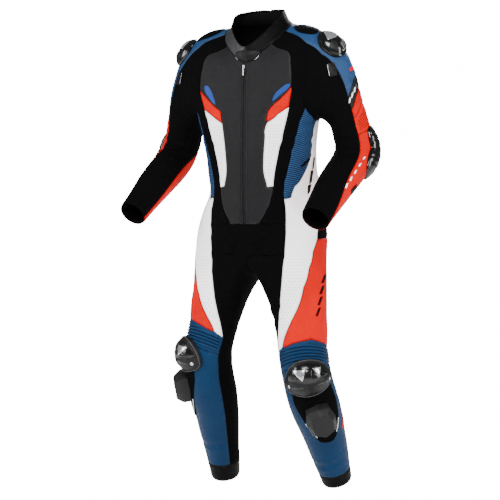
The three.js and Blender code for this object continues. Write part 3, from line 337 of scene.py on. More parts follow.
def attribute(tree, name):
    return node(tree, "ShaderNodeAttribute", attribute_name=name).outputs["Fac"]


def stitched(tree, height, base, thread_colour):
    """Adds topstitching, painted shade at the seam's fold and seam wear to a cloth's height and colour."""
    distance = attribute(tree, "seam")
    stitch = use(tree, topstitch(), Distance=distance, Run=attribute(tree, "run"),
                 Offset=sizes().stitch_offset, Pitch=sizes().stitch_pitch)
    wear = use(tree, seam_shade_and_wear(), Distance=distance)
    # Painted shade: the colour goes to near black at the fold of each seam
    base = blend_colours(tree, calc(tree, "MULTIPLY", wear["Shadow"], 0.75), base, (0.001, 0.001, 0.001, 1))
    base = blend_colours(tree, calc(tree, "MULTIPLY", wear["Rubbed"], 0.02), base, (0.3, 0.3, 0.3, 1))
    base = blend_colours(tree, stitch["Thread"], base, full(thread_colour))
    return calc(tree, "ADD", height, stitch["Height"]), base


def leather(name, tint, roughness, thread=None, holes=None, decorate=None, **values):
    """Leather with grain and shade and, where asked, painted shade in the grooves of its ribs, perforation,
    or topstitching with painted shade at the seams.
    """
    made, tree, shader = blank_material(name, roughness, **values)
    grain = use(tree, leather_grain())
    dark = full([part * 0.93 for part in tint])
    light = full([min(1.0, part * 1.1) for part in tint])
    base = blend_colours(tree, grain["Shade"], dark, light)
    height = grain["Height"]
    if decorate is not None:
        base = decorate(tree, base)
    if holes is not None:
        hole = holes(tree)
        deep = full([part * 0.12 for part in tint])
        base = blend_colours(tree, calc(tree, "MULTIPLY", hole, 0.8), base, deep)
        height = calc(tree, "SUBTRACT", height, calc(tree, "MULTIPLY", hole, 0.0006))
    if thread is not None:
        height, base = stitched(tree, height, base, thread)
    dress(tree, shader, base, (grain["Fine"], 0.22, roughness - 0.11), height, 0.9)
    return made


def stretch_cloth(name, tint, roughness, light, decorate=None, **values):
    """Knitted cloth between two tones and, where asked, a pattern."""
    made, tree, shader = blank_material(name, roughness, **values)
    weave = use(tree, knit())
    base = blend_colours(tree, weave["Shade"], full(tint), full(light))
    if decorate is not None:
        base = decorate(tree, base)
    dress(tree, shader, base, (weave["Fine"], 0.15, roughness - 0.08), weave["Height"], 0.8)
    return made


def plastic(name, tint, roughness, scuffed, **values):
    """Moulded plastic, rubber or metal, lighter and rougher where it is scuffed."""
    made, tree, shader = blank_material(name, roughness, **values)
    wear = use(tree, armour_wear())
    base = blend_colours(tree, calc(tree, "MULTIPLY", wear["Scuff"], 0.35), full(tint), full(scuffed))
    dress(tree, shader, base, (wear["Scuff"], 0.16, roughness), wear["Height"], 0.5)
    return made


def holes_in(spacing, radius, low, high, front=True):
    """Perforation between two heights, laid out flat on the front or round the side."""
    fade = 0.012

    def build(tree):
        x, y, z = split(tree, place_output(tree))
        across = x
        if not front:
            across = calc(tree, "ADD", calc(tree, "MULTIPLY", calc(tree, "ABSOLUTE", x), 0.8),
                          calc(tree, "MULTIPLY", y, 0.6))
        hole = use(tree, perforation(), Across=across, Up=z, Spacing=spacing, Radius=radius)["Hole"]
        gate = calc(tree, "MULTIPLY", between(tree, z, low - fade, low),
                    between(tree, z, high, high + fade, 1.0, 0.0))
        inner = between(tree, attribute(tree, "seam"), 0.009, 0.011)
        return calc(tree, "MULTIPLY", hole, calc(tree, "MULTIPLY", gate, inner))
    return build


def flank_lines(tree, base):
    """Fine light lines over the flank panels, fainter to the back."""
    line = use(tree, rising_lines())["Line"]
    fade = between(tree, split(tree, place_output(tree))[1], 0.03, 0.11, 1.0, 0.35)
    return blend_colours(tree, calc(tree, "MULTIPLY", line, fade), base, full(colours().line_blue))


def painted_groove_shade(high, low, most, tint):
    """Painted shade: a darker tint in the grooves of an accordion panel, from one height of its ribs to
    another.
    """
    def build(tree, base):
        share = between(tree, attribute(tree, "rib"), high, low, 0.0, most)
        return blend_colours(tree, share, base, full(tint))
    return build


WHITE_HIDE = {"thread": (0.62, 0.62, 0.62), "Specular_IOR_Level": 0.45}
RED_HIDE = {"Specular_IOR_Level": 0.07, "Specular_Tint": (1.0, 0.2, 0.1, 1.0)}

# Each finish: its maker, its colour or the name of its setting, its roughness and further values
FINISHES = {
    "Grey leather": (leather, "grey", 0.5, dict(
        thread=(0.026, 0.026, 0.028), holes=holes_in(0.0062, 0.1, -0.62, 0.0), Specular_IOR_Level=0.09)),
    "Collar grey": (leather, (0.016, 0.016, 0.0175), 0.4, dict(
        thread=(0.035, 0.035, 0.037), Specular_IOR_Level=0.34)),
    "White leather": (leather, "white", 0.42, dict(WHITE_HIDE, holes=holes_in(0.0085, 0.13, -0.44, -0.27))),
    "White hip leather": (leather, "white", 0.42, dict(
        WHITE_HIDE, holes=holes_in(0.0092, 0.11, -0.86, -0.66, front=False))),
    "Red leather": (leather, "red", 0.44, dict(RED_HIDE, thread=(0.25, 0.002, 0.0))),
    # The ribbed finishes have painted shade in the grooves between their ribs
    "Red ribbed leather": (leather, "red", 0.44, dict(
        RED_HIDE, decorate=painted_groove_shade(0.6, 0.15, 0.95, (0.03, 0.0005, 0.0)))),
    "Shoulder blue leather": (leather, "blue", 0.42, dict(
        thread=(0.006, 0.03, 0.08), Specular_IOR_Level=0.2)),
    "Shin blue leather": (leather, "deep_blue", 0.44, dict(
        thread=(0.002, 0.014, 0.04), Specular_IOR_Level=0.08)),
    "Blue ribbed leather": (leather, "deep_blue", 0.46, dict(
        decorate=painted_groove_shade(0.62, 0.2, 1.0, (0.0008, 0.002, 0.008)), Specular_IOR_Level=0.09)),
    "Accent blue leather": (leather, "accent_blue", 0.42, dict(Specular_IOR_Level=0.2)),
    "Black leather": (leather, "black", 0.46, dict(thread=(0.008, 0.008, 0.009), Specular_IOR_Level=0.05)),
    "Grey trim": (leather, (0.05, 0.05, 0.053), 0.45, dict(Specular_IOR_Level=0.25)),
    "White mark": (leather, (0.8, 0.8, 0.8), 0.5, dict(Specular_IOR_Level=0.3)),
    "Black stretch": (stretch_cloth, "stretch", 0.9, dict(
        light=(0.0016, 0.0016, 0.0018), Specular_IOR_Level=0.04)),
    "Flank stretch": (stretch_cloth, "navy", 0.7, dict(
        light=(0.002, 0.007, 0.024), decorate=flank_lines, Specular_IOR_Level=0.15)),
    "Lining": (stretch_cloth, (0.001, 0.001, 0.001), 0.9, dict(
        light=(0.002, 0.002, 0.002), Specular_IOR_Level=0.08)),
    "Zip cloth": (stretch_cloth, (0.0012, 0.0012, 0.0012), 0.8, dict(
        light=(0.004, 0.004, 0.0042), Specular_IOR_Level=0.1)),
    "Gloss armour": (plastic, "gloss", 0.16, dict(scuffed=(0.006, 0.006, 0.0065), Specular_IOR_Level=0.42)),
    "Satin armour": (plastic, (0.006, 0.006, 0.0065), 0.42, dict(
        scuffed=(0.012, 0.012, 0.013), Specular_IOR_Level=0.16)),
    "Slider plastic": (plastic, "moulded", 0.5, dict(scuffed=(0.009, 0.009, 0.0095), Specular_IOR_Level=0.2)),
    "Black rubber": (plastic, (0.0022, 0.0022, 0.0025), 0.46, dict(
        scuffed=(0.006, 0.006, 0.006), Specular_IOR_Level=0.13)),
    # Polished metal for trim, screws and tab edges; on the shoulder cups and knee shells its plates are
    # painted reflections of the gloss armour
    "Polished insert": (plastic, "polished", 0.2, dict(scuffed=(0.4, 0.41, 0.42), Metallic=0.85)),
    "Zip metal": (plastic, (0.72, 0.73, 0.75), 0.24, dict(scuffed=(0.4, 0.4, 0.42), Metallic=1.0)),
}


def finish_of(name):
    """A finish by its name, built from the table when it is first asked for."""
    found = bpy.data.materials.get(name)
    if found is None:
        maker, tint, roughness, values = FINISHES[name]
        if isinstance(tint, str):
            tint = getattr(colours(), tint)
        found = maker(name, tint, roughness, **values)
    return found


# Lines in the middle of the trunk and limbs

# Places along the trunk from the neck, along each leg from the knee and along each sleeve from
# the shoulder, in millimetres, with the middle there and the direction downwards
LIMBS = {
    "leg_left": (
        (-240, (131, 9, -764), (0.153, -0.087, -0.984)),
        (-120, (150, -5, -882), (0.162, -0.171, -0.972)),
        (-40, (163, -15, -960), (0.145, -0.021, -0.989)),
        (40, (172, -1, -1038), (0.085, 0.367, -0.926)),
        (110, (177, 31, -1101), (0.059, 0.499, -0.865)),
        (220, (184, 83, -1197), (0.073, 0.433, -0.899)),
        (330, (192, 131, -1296), (0.073, 0.433, -0.899)),
    ),
    "leg_right": (
        (-240, (-126, 12, -723), (-0.164, -0.099, -0.982)),
        (-120, (-146, -2, -840), (-0.176, -0.178, -0.968)),
        (-40, (-159, -14, -918), (-0.155, -0.048, -0.987)),
        (40, (-169, -3, -997), (-0.084, 0.308, -0.948)),
        (110, (-174, 24, -1061), (-0.056, 0.428, -0.902)),
        (220, (-180, 71, -1161), (-0.067, 0.38, -0.922)),
        (330, (-187, 113, -1263), (-0.068, 0.378, -0.923)),
    ),
    "sleeve_left": (
        (30, (231, 8, -45), (0.224, 0.088, -0.971)),
        (150, (258, 18, -163), (0.224, 0.088, -0.971)),
        (250, (282, 35, -259), (0.248, 0.194, -0.949)),
        (338, (300, 35, -344), (0.089, -0.376, -0.922)),
        (420, (296, -22, -401), (-0.114, -0.834, -0.541)),
        (500, (288, -88, -447), (-0.077, -0.768, -0.635)),
        (580, (282, -150, -498), (-0.077, -0.768, -0.635)),
    ),
    "sleeve_right": (
        (30, (-219, 8, -51), (-0.241, 0.093, -0.966)),
        (150, (-248, 19, -168), (-0.241, 0.093, -0.966)),
        (250, (-273, 37, -264), (-0.243, 0.179, -0.953)),
        (338, (-293, 28, -347), (-0.161, -0.555, -0.816)),
        (420, (-301, -35, -399), (-0.073, -0.844, -0.532)),
        (500, (-308, -100, -446), (-0.102, -0.768, -0.633)),
        (580, (-316, -161, -497), (-0.102, -0.768, -0.633)),
    ),
    "trunk": (
        (0, (0, 10, 60), (0.0, 0.0, -1.0)),
        (200, (0, 20, -140), (0.0, 0.05, -0.999)),
        (500, (0, 35, -440), (0.0, 0.0, -1.0)),
        (720, (0, 25, -660), (0.0, 0.0, -1.0)),
    ),
}


# Girths for rays round the knee and elbow, as radii in millimetres
KNEE_RADIUS = 76.0
ELBOW_RADIUS = 60.0


def limb_frame(limb, along):
    """Middle, forward and outward directions at a place along a limb, in metres."""
    stations = LIMBS[limb]
    sign = -1.0 if limb.endswith("right") else 1.0
    for low, high in zip(stations, stations[1:]):
        if along <= high[0] or high is stations[-1]:
            break
    share = (along - low[0]) / (high[0] - low[0])
    middle = (Vector(low[1]) * (1 - share) + Vector(high[1]) * share) * MM
    down = (Vector(low[2]) * (1 - share) + Vector(high[2]) * share).normalized()
    outer = Vector((-down.z, 0.0, down.x)).normalized() * sign
    front = -down.cross(outer)
    if front.y > 0:
        front.negate()
    return middle, front.normalized(), outer


def limb_rays(limb, along, angle, radius):
    """Rays inward from outside a limb. x runs to the outer side and y up, in millimetres."""
    def ray(x, y):
        middle, front, outer = limb_frame(limb, along - y)
        turn = math.radians(angle) + x / radius
        way = (front * math.cos(turn) + outer * math.sin(turn)).normalized()
        return middle + way * 0.2, -way
    return ray


def shoulder_rays(sign, aim, reach=62.0):
    """Rays inward to a point inside the shoulder. x runs outwards and y up, in millimetres."""
    middle = Vector((sign * 205, 10, -80)) * MM
    towards = Vector((sign * aim[0], aim[1], aim[2])).normalized()
    across = (Vector((sign, 0, 0)) - towards * (sign * towards.x)).normalized()
    upward = (towards.cross(across) * sign).normalized()

    def ray(x, y):
        way = (towards * reach + across * x + upward * y).normalized()
        return middle + way * 0.25, -way
    return ray


def picture_rays(x0, y0):
    """Rays from the camera through the picture. x and y are in pixels from a middle, y down."""
    turn = CAMERA_TURN.to_matrix()

    def ray(x, y):
        across = (x0 + x - PICTURE / 2) / PICTURE * SENSOR
        up = (PICTURE / 2 - y0 - y) / PICTURE * SENSOR
        return CAMERA_PLACE.copy(), (turn @ Vector((across, up, -CAMERA_LENS))).normalized()
    return ray


# Cloth

# Each kind of panel: its slot in the record, its finish, and the limb it goes round
PANELS = {
    "front": ("grey_leather", "Grey leather", "trunk"),
    "chest_stripe": ("red_leather", "Red leather", "trunk"),
    "side_front": ("white_leather", "White leather", "trunk"),
    "band": ("black_stretch", "Black stretch", "trunk"),
    "flank": ("navy_stretch", "Flank stretch", "trunk"),
    "hip": ("white_leather", "White hip leather", "hip"),
    "back": ("black_stretch", "Black leather", "trunk"),
    "seat": ("black_stretch", "Black stretch", "trunk"),
    "crotch": ("black_stretch", "Black stretch", "trunk"),
    "shoulder": ("blue_leather", "Shoulder blue leather", "sleeve"),
    "sleeve_band": ("grey_leather", "Grey leather", "sleeve"),
    "sleeve_upper": ("red_leather", "Red leather", "sleeve"),
    "elbow_ribs": ("red_leather", "Red ribbed leather", "sleeve"),
    "forearm": ("red_leather", "Red leather", "sleeve"),
    "sleeve_inner": ("black_stretch", "Black stretch", "sleeve"),
    "inner_thigh": ("black_stretch", "Black stretch", "leg"),
    "thigh": ("red_leather", "Red leather", "hip"),
    "knee_ribs": ("navy_stretch", "Blue ribbed leather", "leg"),
    "shin": ("blue_leather", "Shin blue leather", "leg"),
    "calf": ("black_stretch", "Black stretch", "leg"),
    "hem": ("black_stretch", "Black leather", "leg"),
    "collar": ("black_leather", "Black leather", "trunk"),
}

# Steps that a rib's cells are cut in, and the thickness of the panels' walls in metres
RIB_STEPS = 6
CAD_WALL = 0.002


def kind_of(name):
    """A panel's name without its side."""
    return name.replace("_left", "").replace("_right", "")


def side_of(name):
    return "left" if name.endswith("left") else "right"


def middle_line(name):
    """Points in the middle of what a panel goes round."""
    limb = PANELS[kind_of(name)][2]
    side = side_of(name)
    trunk = [Vector(station[1]) * MM for station in LIMBS["trunk"]]
    if limb == "trunk":
        return trunk
    if limb == "sleeve":
        points = [Vector(station[1]) * MM for station in LIMBS[f"sleeve_{side}"]]
        return [Vector((points[0].x * 0.5, 0.01, -0.09))] + points
    leg = [Vector(station[1]) * MM for station in LIMBS[f"leg_{side}"]]
    return trunk + leg[1:] if limb == "hip" else leg


def nearest_on_line(line, point):
    """The place on a line of points that is nearest to a point."""
    best = None
    for a, b in zip(line, line[1:]):
        span = b - a
        share = max(0.0, min(1.0, (point - a).dot(span) / span.length_squared))
        place = a + span * share
        if best is None or (point - place).length < (point - best).length:
            best = place
    return best


def node_arrays(name):
    """Points without doubles and triangles of a CAD node, in the order of the file."""
    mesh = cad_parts[name].data
    points = np.empty(len(mesh.vertices) * 3, np.float32)
    mesh.vertices.foreach_get("co", points)
    corners = np.empty(len(mesh.loops), np.int32)
    mesh.loops.foreach_get("vertex_index", corners)
    points, index = np.unique(np.round(points.reshape(-1, 3).astype(float), 6), axis=0, return_inverse=True)
    return points, index.reshape(-1)[corners].reshape(-1, 3)


def islands_of(triangles):
    """Groups of triangles that share edges, each in the order of the file."""
    by_edge = {}
    for index, corners in enumerate(triangles):
        for a, b in zip(corners, np.roll(corners, -1)):
            by_edge.setdefault((min(a, b), max(a, b)), []).append(index)
    neighbours = {index: set() for index in range(len(triangles))}
    for group in by_edge.values():
        for index in group:
            neighbours[index].update(group)
    groups = []
    left = set(neighbours)
    while left:
        queue = [left.pop()]
        group = list(queue)
        while queue:
            for index in neighbours[queue.pop()] & left:
                left.discard(index)
                queue.append(index)
                group.append(index)
        groups.append(sorted(group))
    return groups


def paired(points, triangles):
    """Four-sided faces from triangles, the best shaped ones first."""
    mesh = bmesh.new()
    used, index = np.unique(triangles, return_inverse=True)
    corners = [mesh.verts.new(points[place]) for place in used]
    for face in index.reshape(-1, 3):
        mesh.faces.new([corners[place] for place in face])
    mesh.verts.index_update()
    bmesh.ops.join_triangles(mesh, faces=mesh.faces[:], angle_face_threshold=3.0, angle_shape_threshold=3.0)
    cells = [[int(used[corner.index]) for corner in face.verts] for face in mesh.faces]
    mesh.free()
    return cells


def rib_rows(points, triangles, line):
    """The cells of an accordion panel, without the even steps that its ribs cut them in."""
    links = {}
    for triangle in triangles:
        for a, b in zip(triangle, np.roll(triangle, -1)):
            links.setdefault(int(a), set()).add(int(b))
            links.setdefault(int(b), set()).add(int(a))

    def straight_on(before, corner):
        span = points[corner] - points[before]
        for following in links[corner]:
            if following != before and np.linalg.norm(points[following] - points[corner] - span) < 8e-6:
                return following
        return None
    steps = {corner for corner in links
             if any(straight_on(before, corner) is not None for before in links[corner])}
    ends = {}
    for corner in links:
        if corner in steps:
            continue
        for following in links[corner] & steps:
            chain = [corner, following]
            onward = straight_on(*chain)
            if onward is None:
                continue
            while onward is not None and len(chain) <= RIB_STEPS:
                chain.append(onward)
                onward = straight_on(chain[-2], chain[-1])
            if chain[-1] not in steps:
                ends.setdefault(corner, set()).add(chain[-1])
    cells = {}
    for a in ends:
        for c in links[a] - steps:
            for b in ends[a]:
                for d in ends.get(c, ()):
                    if b != d and b in links[d]:
                        cells.setdefault(frozenset((a, b, c, d)), [a, b, d, c])
    made = []
    for a, b, d, c in cells.values():
        corners = [Vector(points[corner]) for corner in (a, b, d, c)]
        centre = (corners[0] + corners[1] + corners[2] + corners[3]) / 4
        normal = (corners[2] - corners[0]).cross(corners[3] - corners[1])
        outward = normal.dot(centre - nearest_on_line(line, centre)) > 0
        made.append([a, b, d, c] if outward else [c, d, b, a])
    return made


def outer_cells(name):
    """Points and four-sided cells of a cloth panel's outer face."""
    points, triangles = node_arrays(name)
    sides = np.linalg.norm(points[triangles] - points[np.roll(triangles, -1, axis=1)], axis=2)
    wall = (np.abs(sides - CAD_WALL) < 2e-5).any(axis=1)
    triangles = triangles[~wall]
    line = middle_line(name)
    votes = []
    for group in islands_of(triangles):
        vote = 0.0
        for a, b, c in triangles[group]:
            pa, pb, pc = (Vector(points[i]) for i in (a, b, c))
            centre = (pa + pb + pc) / 3
            vote += (pb - pa).cross(pc - pa).dot(centre - nearest_on_line(line, centre))
        votes.append((vote, group))
    if len(votes) != 2:
        raise RuntimeError(f"{name} has {len(votes)} faces")
    votes.sort(key=lambda pair: pair[0])
    ribbed = kind_of(name).endswith("ribs")
    group = votes[0 if ribbed else 1][1]
    chosen = triangles[group]
    if not ribbed:
        return points, paired(points, chosen)
    cells = rib_rows(points, chosen, line)
    if len(cells) * RIB_STEPS * 2 != len(group):
        raise RuntimeError(f"{name} has {len(group)} narrow triangles and {len(cells)} cells")
    return points + cell_normals(points, cells) * CAD_WALL, cells


def cell_normals(points, cells):
    """The normal at each point of a net of cells."""
    normals = np.zeros_like(points)
    for cell in cells:
        corners = points[cell]
        normal = np.cross(corners[2] - corners[0], corners[3] - corners[1])
        normals[cell] += normal
    lengths = np.linalg.norm(normals, axis=1, keepdims=True)
    return normals / np.maximum(lengths, 1e-12)


def sewn_net(names, reach=0.0018):
    """All panels' outer cells, welded along their seams."""
    all_points, all_cells, owners = [], [], []
    count = 0
    for owner, name in enumerate(names):
        points, cells = outer_cells(name)
        used = sorted({corner for cell in cells for corner in cell})
        place = {corner: count + index for index, corner in enumerate(used)}
        all_points.append(points[used])
        all_cells += [[place[corner] for corner in cell] for cell in cells]
        owners += [owner] * len(cells)
        count += len(used)
    points = np.concatenate(all_points)
    tree = KDTree(len(points))
    for index, point in enumerate(points):
        tree.insert(point, index)
    tree.balance()
    leader = [-1] * len(points)
    merged = []
    for index, point in enumerate(points):
        if leader[index] >= 0:
            continue
        near = [found for _, found, _ in tree.find_range(point, reach) if leader[found] < 0]
        for found in near:
            leader[found] = len(merged)
        merged.append(points[near].mean(axis=0))
    cells, kept = [], []
    for cell, owner in zip(all_cells, owners):
        corners = []
        for corner in (leader[index] for index in cell):
            if corner not in corners:
                corners.append(corner)
        if len(corners) > 2:
            cells.append(corners)
            kept.append(owner)
    return merged, cells, kept


def new_mesh_object(name, points, faces):
    mesh = bpy.data.meshes.new(name)
    mesh.from_pydata([tuple(point) for point in points], [], faces)
    mesh.update()
    made = bpy.data.objects.new(name, mesh)
    bpy.context.scene.collection.objects.link(made)
    return made


def only(made):
    """Selects one object alone and makes it active."""
    bpy.ops.object.select_all(action="DESELECT")
    made.select_set(True)
    bpy.context.view_layer.objects.active = made


def apply_all(made):
    only(made)
    for modifier in list(made.modifiers):
        bpy.ops.object.modifier_apply(modifier=modifier.name)


def face_arrays(mesh):
    """Points, normals, four-sided faces and material numbers of a mesh."""
    points = np.empty(len(mesh.vertices) * 3, np.float64)
    mesh.vertices.foreach_get("co", points)
    normals = np.empty(len(mesh.vertices) * 3, np.float64)
    mesh.vertex_normals.foreach_get("vector", normals)
    corners = np.empty(len(mesh.loops), np.int32)
    mesh.loops.foreach_get("vertex_index", corners)
    owners = np.empty(len(mesh.polygons), np.int32)
    mesh.polygons.foreach_get("material_index", owners)
    return points.reshape(-1, 3), normals.reshape(-1, 3), corners.reshape(-1, 4), owners


def border_loops(quads):
    """Lines of border vertices of a set of faces, each closed or open."""
    edges = np.stack([quads, np.roll(quads, -1, axis=1)], axis=2).reshape(-1, 2)
    ordered = np.sort(edges, axis=1)
    unique, counts = np.unique(ordered, axis=0, return_counts=True)
    links = {}
    for a, b in unique[counts == 1]:
        links.setdefault(int(a), []).append(int(b))
        links.setdefault(int(b), []).append(int(a))
    loops = []
    left = set(links)
    while left:
        start = min(left)
        loop = [start]
        left.discard(start)
        while True:
            onward = [index for index in links[loop[-1]] if index in left]
            if not onward:
                break
            loop.append(onward[0])
            left.discard(onward[0])
        loops.append(loop)
    return loops


def seam_distances(points, quads):
    """For each point of a panel: the distance to its border, and the way along it."""
    entries = []
    for loop in border_loops(quads):
        run = 0.0
        for index, following in zip(loop, loop[1:] + loop[:1]):
            a, b = points[index], points[following]
            step = float(np.linalg.norm(b - a))
            if step < 0.03:
                entries.append((a, b, run, step))
            run += step
    tree = KDTree(len(entries))
    for index, (a, b, _, _) in enumerate(entries):
        tree.insert((a + b) / 2, index)
    tree.balance()
    used = np.unique(quads)
    distance, along = {}, {}
    for index in used:
        point = points[index]
        best = (1.0, 0.0)
        for _, found, _ in tree.find_n(point, 3):
            a, b, run, step = entries[found]
            share = min(1.0, max(0.0, float((point - a) @ (b - a)) / max(step * step, 1e-12)))
            gap = float(np.linalg.norm(point - (a + (b - a) * share)))
            if gap < best[0]:
                best = (gap, run + step * share)
        distance[int(index)], along[int(index)] = best
    return distance, along


# How much deeper the folds are pressed than the table says
FOLD_STRENGTH = 1.25

# Folds pressed into the cloth: limb, then along and angle at both ends, half width and depth
FOLDS = (
    ("sleeve_left", 306, -70, 318, 40, 7.0, 2.6), ("sleeve_left", 330, -80, 336, 30, 6.0, 3.2),
    ("sleeve_left", 352, -60, 350, 50, 6.0, 3.0), ("sleeve_left", 374, -75, 366, 20, 7.0, 2.2),
    ("sleeve_left", 268, -100, 292, -10, 8.0, 2.2), ("sleeve_left", 400, -40, 392, 35, 8.0, 1.6),
    ("sleeve_left", 120, -120, 170, -40, 9.0, 2.0), ("sleeve_left", 200, -90, 232, -20, 9.0, 1.8),
    ("sleeve_right", 300, -60, 316, 50, 7.0, 2.8), ("sleeve_right", 326, -85, 332, 25, 6.0, 3.2),
    ("sleeve_right", 350, -70, 352, 45, 6.0, 3.0), ("sleeve_right", 378, -60, 370, 30, 7.0, 2.0),
    ("sleeve_right", 262, -90, 286, -15, 8.0, 2.0), ("sleeve_right", 140, -110, 190, -45, 9.0, 2.0),
    ("trunk", 640, 14, 690, 48, 9.0, 3.0), ("trunk", 660, 10, 712, 34, 8.0, 2.8),
    ("trunk", 640, -16, 694, -50, 9.0, 3.0), ("trunk", 664, -8, 712, -30, 8.0, 2.6),
    ("trunk", 612, 20, 640, 56, 10.0, 2.0), ("trunk", 606, -22, 644, -58, 10.0, 2.2),
    ("leg_left", -216, -70, -200, -10, 10.0, 2.4), ("leg_left", -176, -100, -166, -30, 9.0, 2.0),
    ("leg_right", -210, -80, -196, -14, 10.0, 2.6), ("leg_right", -168, -90, -160, -30, 9.0, 2.0),
    ("leg_left", 2, 120, 6, 230, 8.0, 4.0), ("leg_left", 24, 130, 22, 220, 7.0, 3.4),
    ("leg_left", -22, 135, -16, 225, 8.0, 3.4), ("leg_left", 48, 140, 40, 215, 8.0, 2.4),
    ("leg_right", 0, 125, 5, 228, 8.0, 4.0), ("leg_right", 22, 135, 22, 222, 7.0, 3.4),
    ("leg_right", -24, 130, -18, 218, 8.0, 3.4), ("leg_right", 46, 140, 42, 210, 8.0, 2.4),
    ("leg_left", 300, -60, 292, 60, 9.0, 1.6), ("leg_right", 292, -50, 304, 70, 9.0, 1.8),
)


def fold_points(surface, limb, along0, angle0, along1, angle1):
    """Places on the cloth along a slightly bowed line from one end of a fold to the other."""
    points = []
    for step in range(9):
        share = step / 8
        bow = math.sin(math.pi * share) * 5
        along = along0 + (along1 - along0) * share + bow
        angle = angle0 + (angle1 - angle0) * share
        start, way = limb_rays(limb, along, angle, ELBOW_RADIUS)(0, 0)
        hit = surface.ray_cast(start - way * 0.05, way)[0]
        if hit is not None:
            points.append(np.array(hit))
    return points


def fold_depths(points, surface):
    """How far each point of the cloth is pressed in by the folds."""
    depth = np.zeros(len(points))
    for limb, along0, angle0, along1, angle1, width, deep in FOLDS:
        line = fold_points(surface, limb, along0, angle0, along1, angle1)
        if len(line) < 5:
            continue
        width, deep = width * MM, deep * MM
        low = np.min(line, axis=0) - width * 4
        high = np.max(line, axis=0) + width * 4
        near = np.nonzero(((points > low) & (points < high)).all(axis=1))[0]
        best = np.full(len(near), 9.0)
        place = np.zeros(len(near))
        for step, (a, b) in enumerate(zip(line, line[1:])):
            span = b - a
            share = np.clip(((points[near] - a) @ span) / max(float(span @ span), 1e-12), 0, 1)
            gap = np.linalg.norm(points[near] - (a + share[:, None] * span), axis=1)
            closer = gap < best
            best[closer] = gap[closer]
            place[closer] = (step + share[closer]) / (len(line) - 1)
        taper = np.sin(np.pi * np.clip(place * 0.9 + 0.05, 0, 1)) ** 0.7
        trough = np.exp(-(best / width) ** 2)
        ridge = np.exp(-((best - width * 1.9) / (width * 0.8)) ** 2)
        depth[near] += deep * taper * (trough - 0.45 * ridge)
    return depth


def slow_waves(points, pitch, seed):
    """Gentle unevenness of worn cloth, between about -1 and 1."""
    offset = Vector((seed, seed * 1.7, seed * 0.6))
    return np.array([noise.noise(Vector(point) / pitch + offset) for point in points])


def rib_phase(name, points):
    """Place across the accordion ribs: whole numbers are the grooves."""
    side = side_of(name)
    if kind_of(name) == "knee_ribs":
        limb, pitch, lean, arch = f"leg_{side}", 8.6, 0.0, 18.0
    else:
        limb, pitch, lean, arch = f"sleeve_{side}", 7.6, 0.42, 0.0
    centre = 280.0 if limb.startswith("sleeve") else 0.0
    step = 2.0
    alongs = np.arange(centre - 130, centre + 130, step)
    middles, fronts, outers = (np.array(part) for part in zip(*(limb_frame(limb, along) for along in alongs)))
    downs = np.cross(fronts, outers)
    downs *= -np.sign(downs[:, 2:])
    ahead = points @ downs.T - (middles * downs).sum(axis=1)
    crossed = (ahead[:, :-1] > 0) & (ahead[:, 1:] <= 0)
    far = np.linalg.norm(points[:, None, :] - middles[None, :-1, :], axis=2)
    place = np.argmin(np.where(crossed, far, 9.0), axis=1)
    rows = np.arange(len(points))
    share = ahead[rows, place] / (ahead[rows, place] - ahead[rows, place + 1])
    away = points - middles[place]
    turn = np.arctan2((away * outers[place]).sum(axis=1), (away * fronts[place]).sum(axis=1))
    bow = arch * (1 - np.cos(turn - math.radians(20)))
    return (alongs[place] + share * step + lean * np.degrees(turn) - bow) / pitch


def refine(made, levels):
    """Divides the faces of a piece without rounding it."""
    modifier = made.modifiers.new("finer", "SUBSURF")
    modifier.subdivision_type = "SIMPLE"
    modifier.levels = levels
    modifier.render_levels = levels
    apply_all(made)


def set_attribute(mesh, name, values):
    made = mesh.attributes.new(name, "FLOAT", "POINT")
    made.data.foreach_set("value", np.asarray(values, np.float32))


def raise_ribs(made, name):
    """Accordion ribs on a finely divided panel, fading out towards its seams."""
    refine(made, 2)
    mesh = made.data
    points, normals, _, _ = face_arrays(mesh)
    seams = np.empty(len(points), np.float32)
    mesh.attributes["seam"].data.foreach_get("value", seams)
    phases = rib_phase(name, points)
    wave = np.abs(np.sin(np.pi * phases)) ** 0.8
    reach = np.clip((seams - 0.003) / 0.008, 0, 1)
    height = sizes().rib_height if kind_of(name) == "knee_ribs" else sizes().rib_height * 0.5
    points = points + normals * ((wave - 0.35) * reach * height)[:, None]
    mesh.vertices.foreach_set("co", points.reshape(-1))
    # The rib attribute also sets the painted shade in the grooves
    set_attribute(mesh, "rib", 1 - reach + wave * reach)
    mesh.update()


def flat_size(points, quads):
    """Longest side, widest developed width and area of a panel, in metres."""
    a, b, c, d = (points[quads[:, corner]] for corner in range(4))
    areas = (np.linalg.norm(np.cross(b - a, c - a), axis=1)
             + np.linalg.norm(np.cross(c - a, d - a), axis=1)) / 2
    centres = (a + b + c + d) / 4
    used = points[np.unique(quads)]
    spread = used - used.mean(axis=0)
    axis = np.linalg.svd(spread[::7], full_matrices=False)[2][0]
    along = (centres - used.mean(axis=0)) @ axis
    low, high = along.min(), along.max()
    slices = 12
    place = np.clip(((along - low) / (high - low) * slices).astype(int), 0, slices - 1)
    widths = np.bincount(place, areas, minlength=slices) / ((high - low) / slices)
    return float(widths.max()), float(high - low), float(areas.sum())


# What the cloth operator leaves for the others: "smooth" and "cloth" are its surface before and
# after pressing, "skin" its points and faces, "edges" the panels' borders. "bridge" closes the zip's gap.
form = {}


def drop(ray, surface=None):
    """The place and outward normal where a ray meets the cloth."""
    start, way = ray
    hit, normal, _, _ = (surface or form["cloth"]).ray_cast(start, way)
    if hit is None:
        return None
    if normal.dot(way) > 0:
        normal = -normal
    return hit, normal


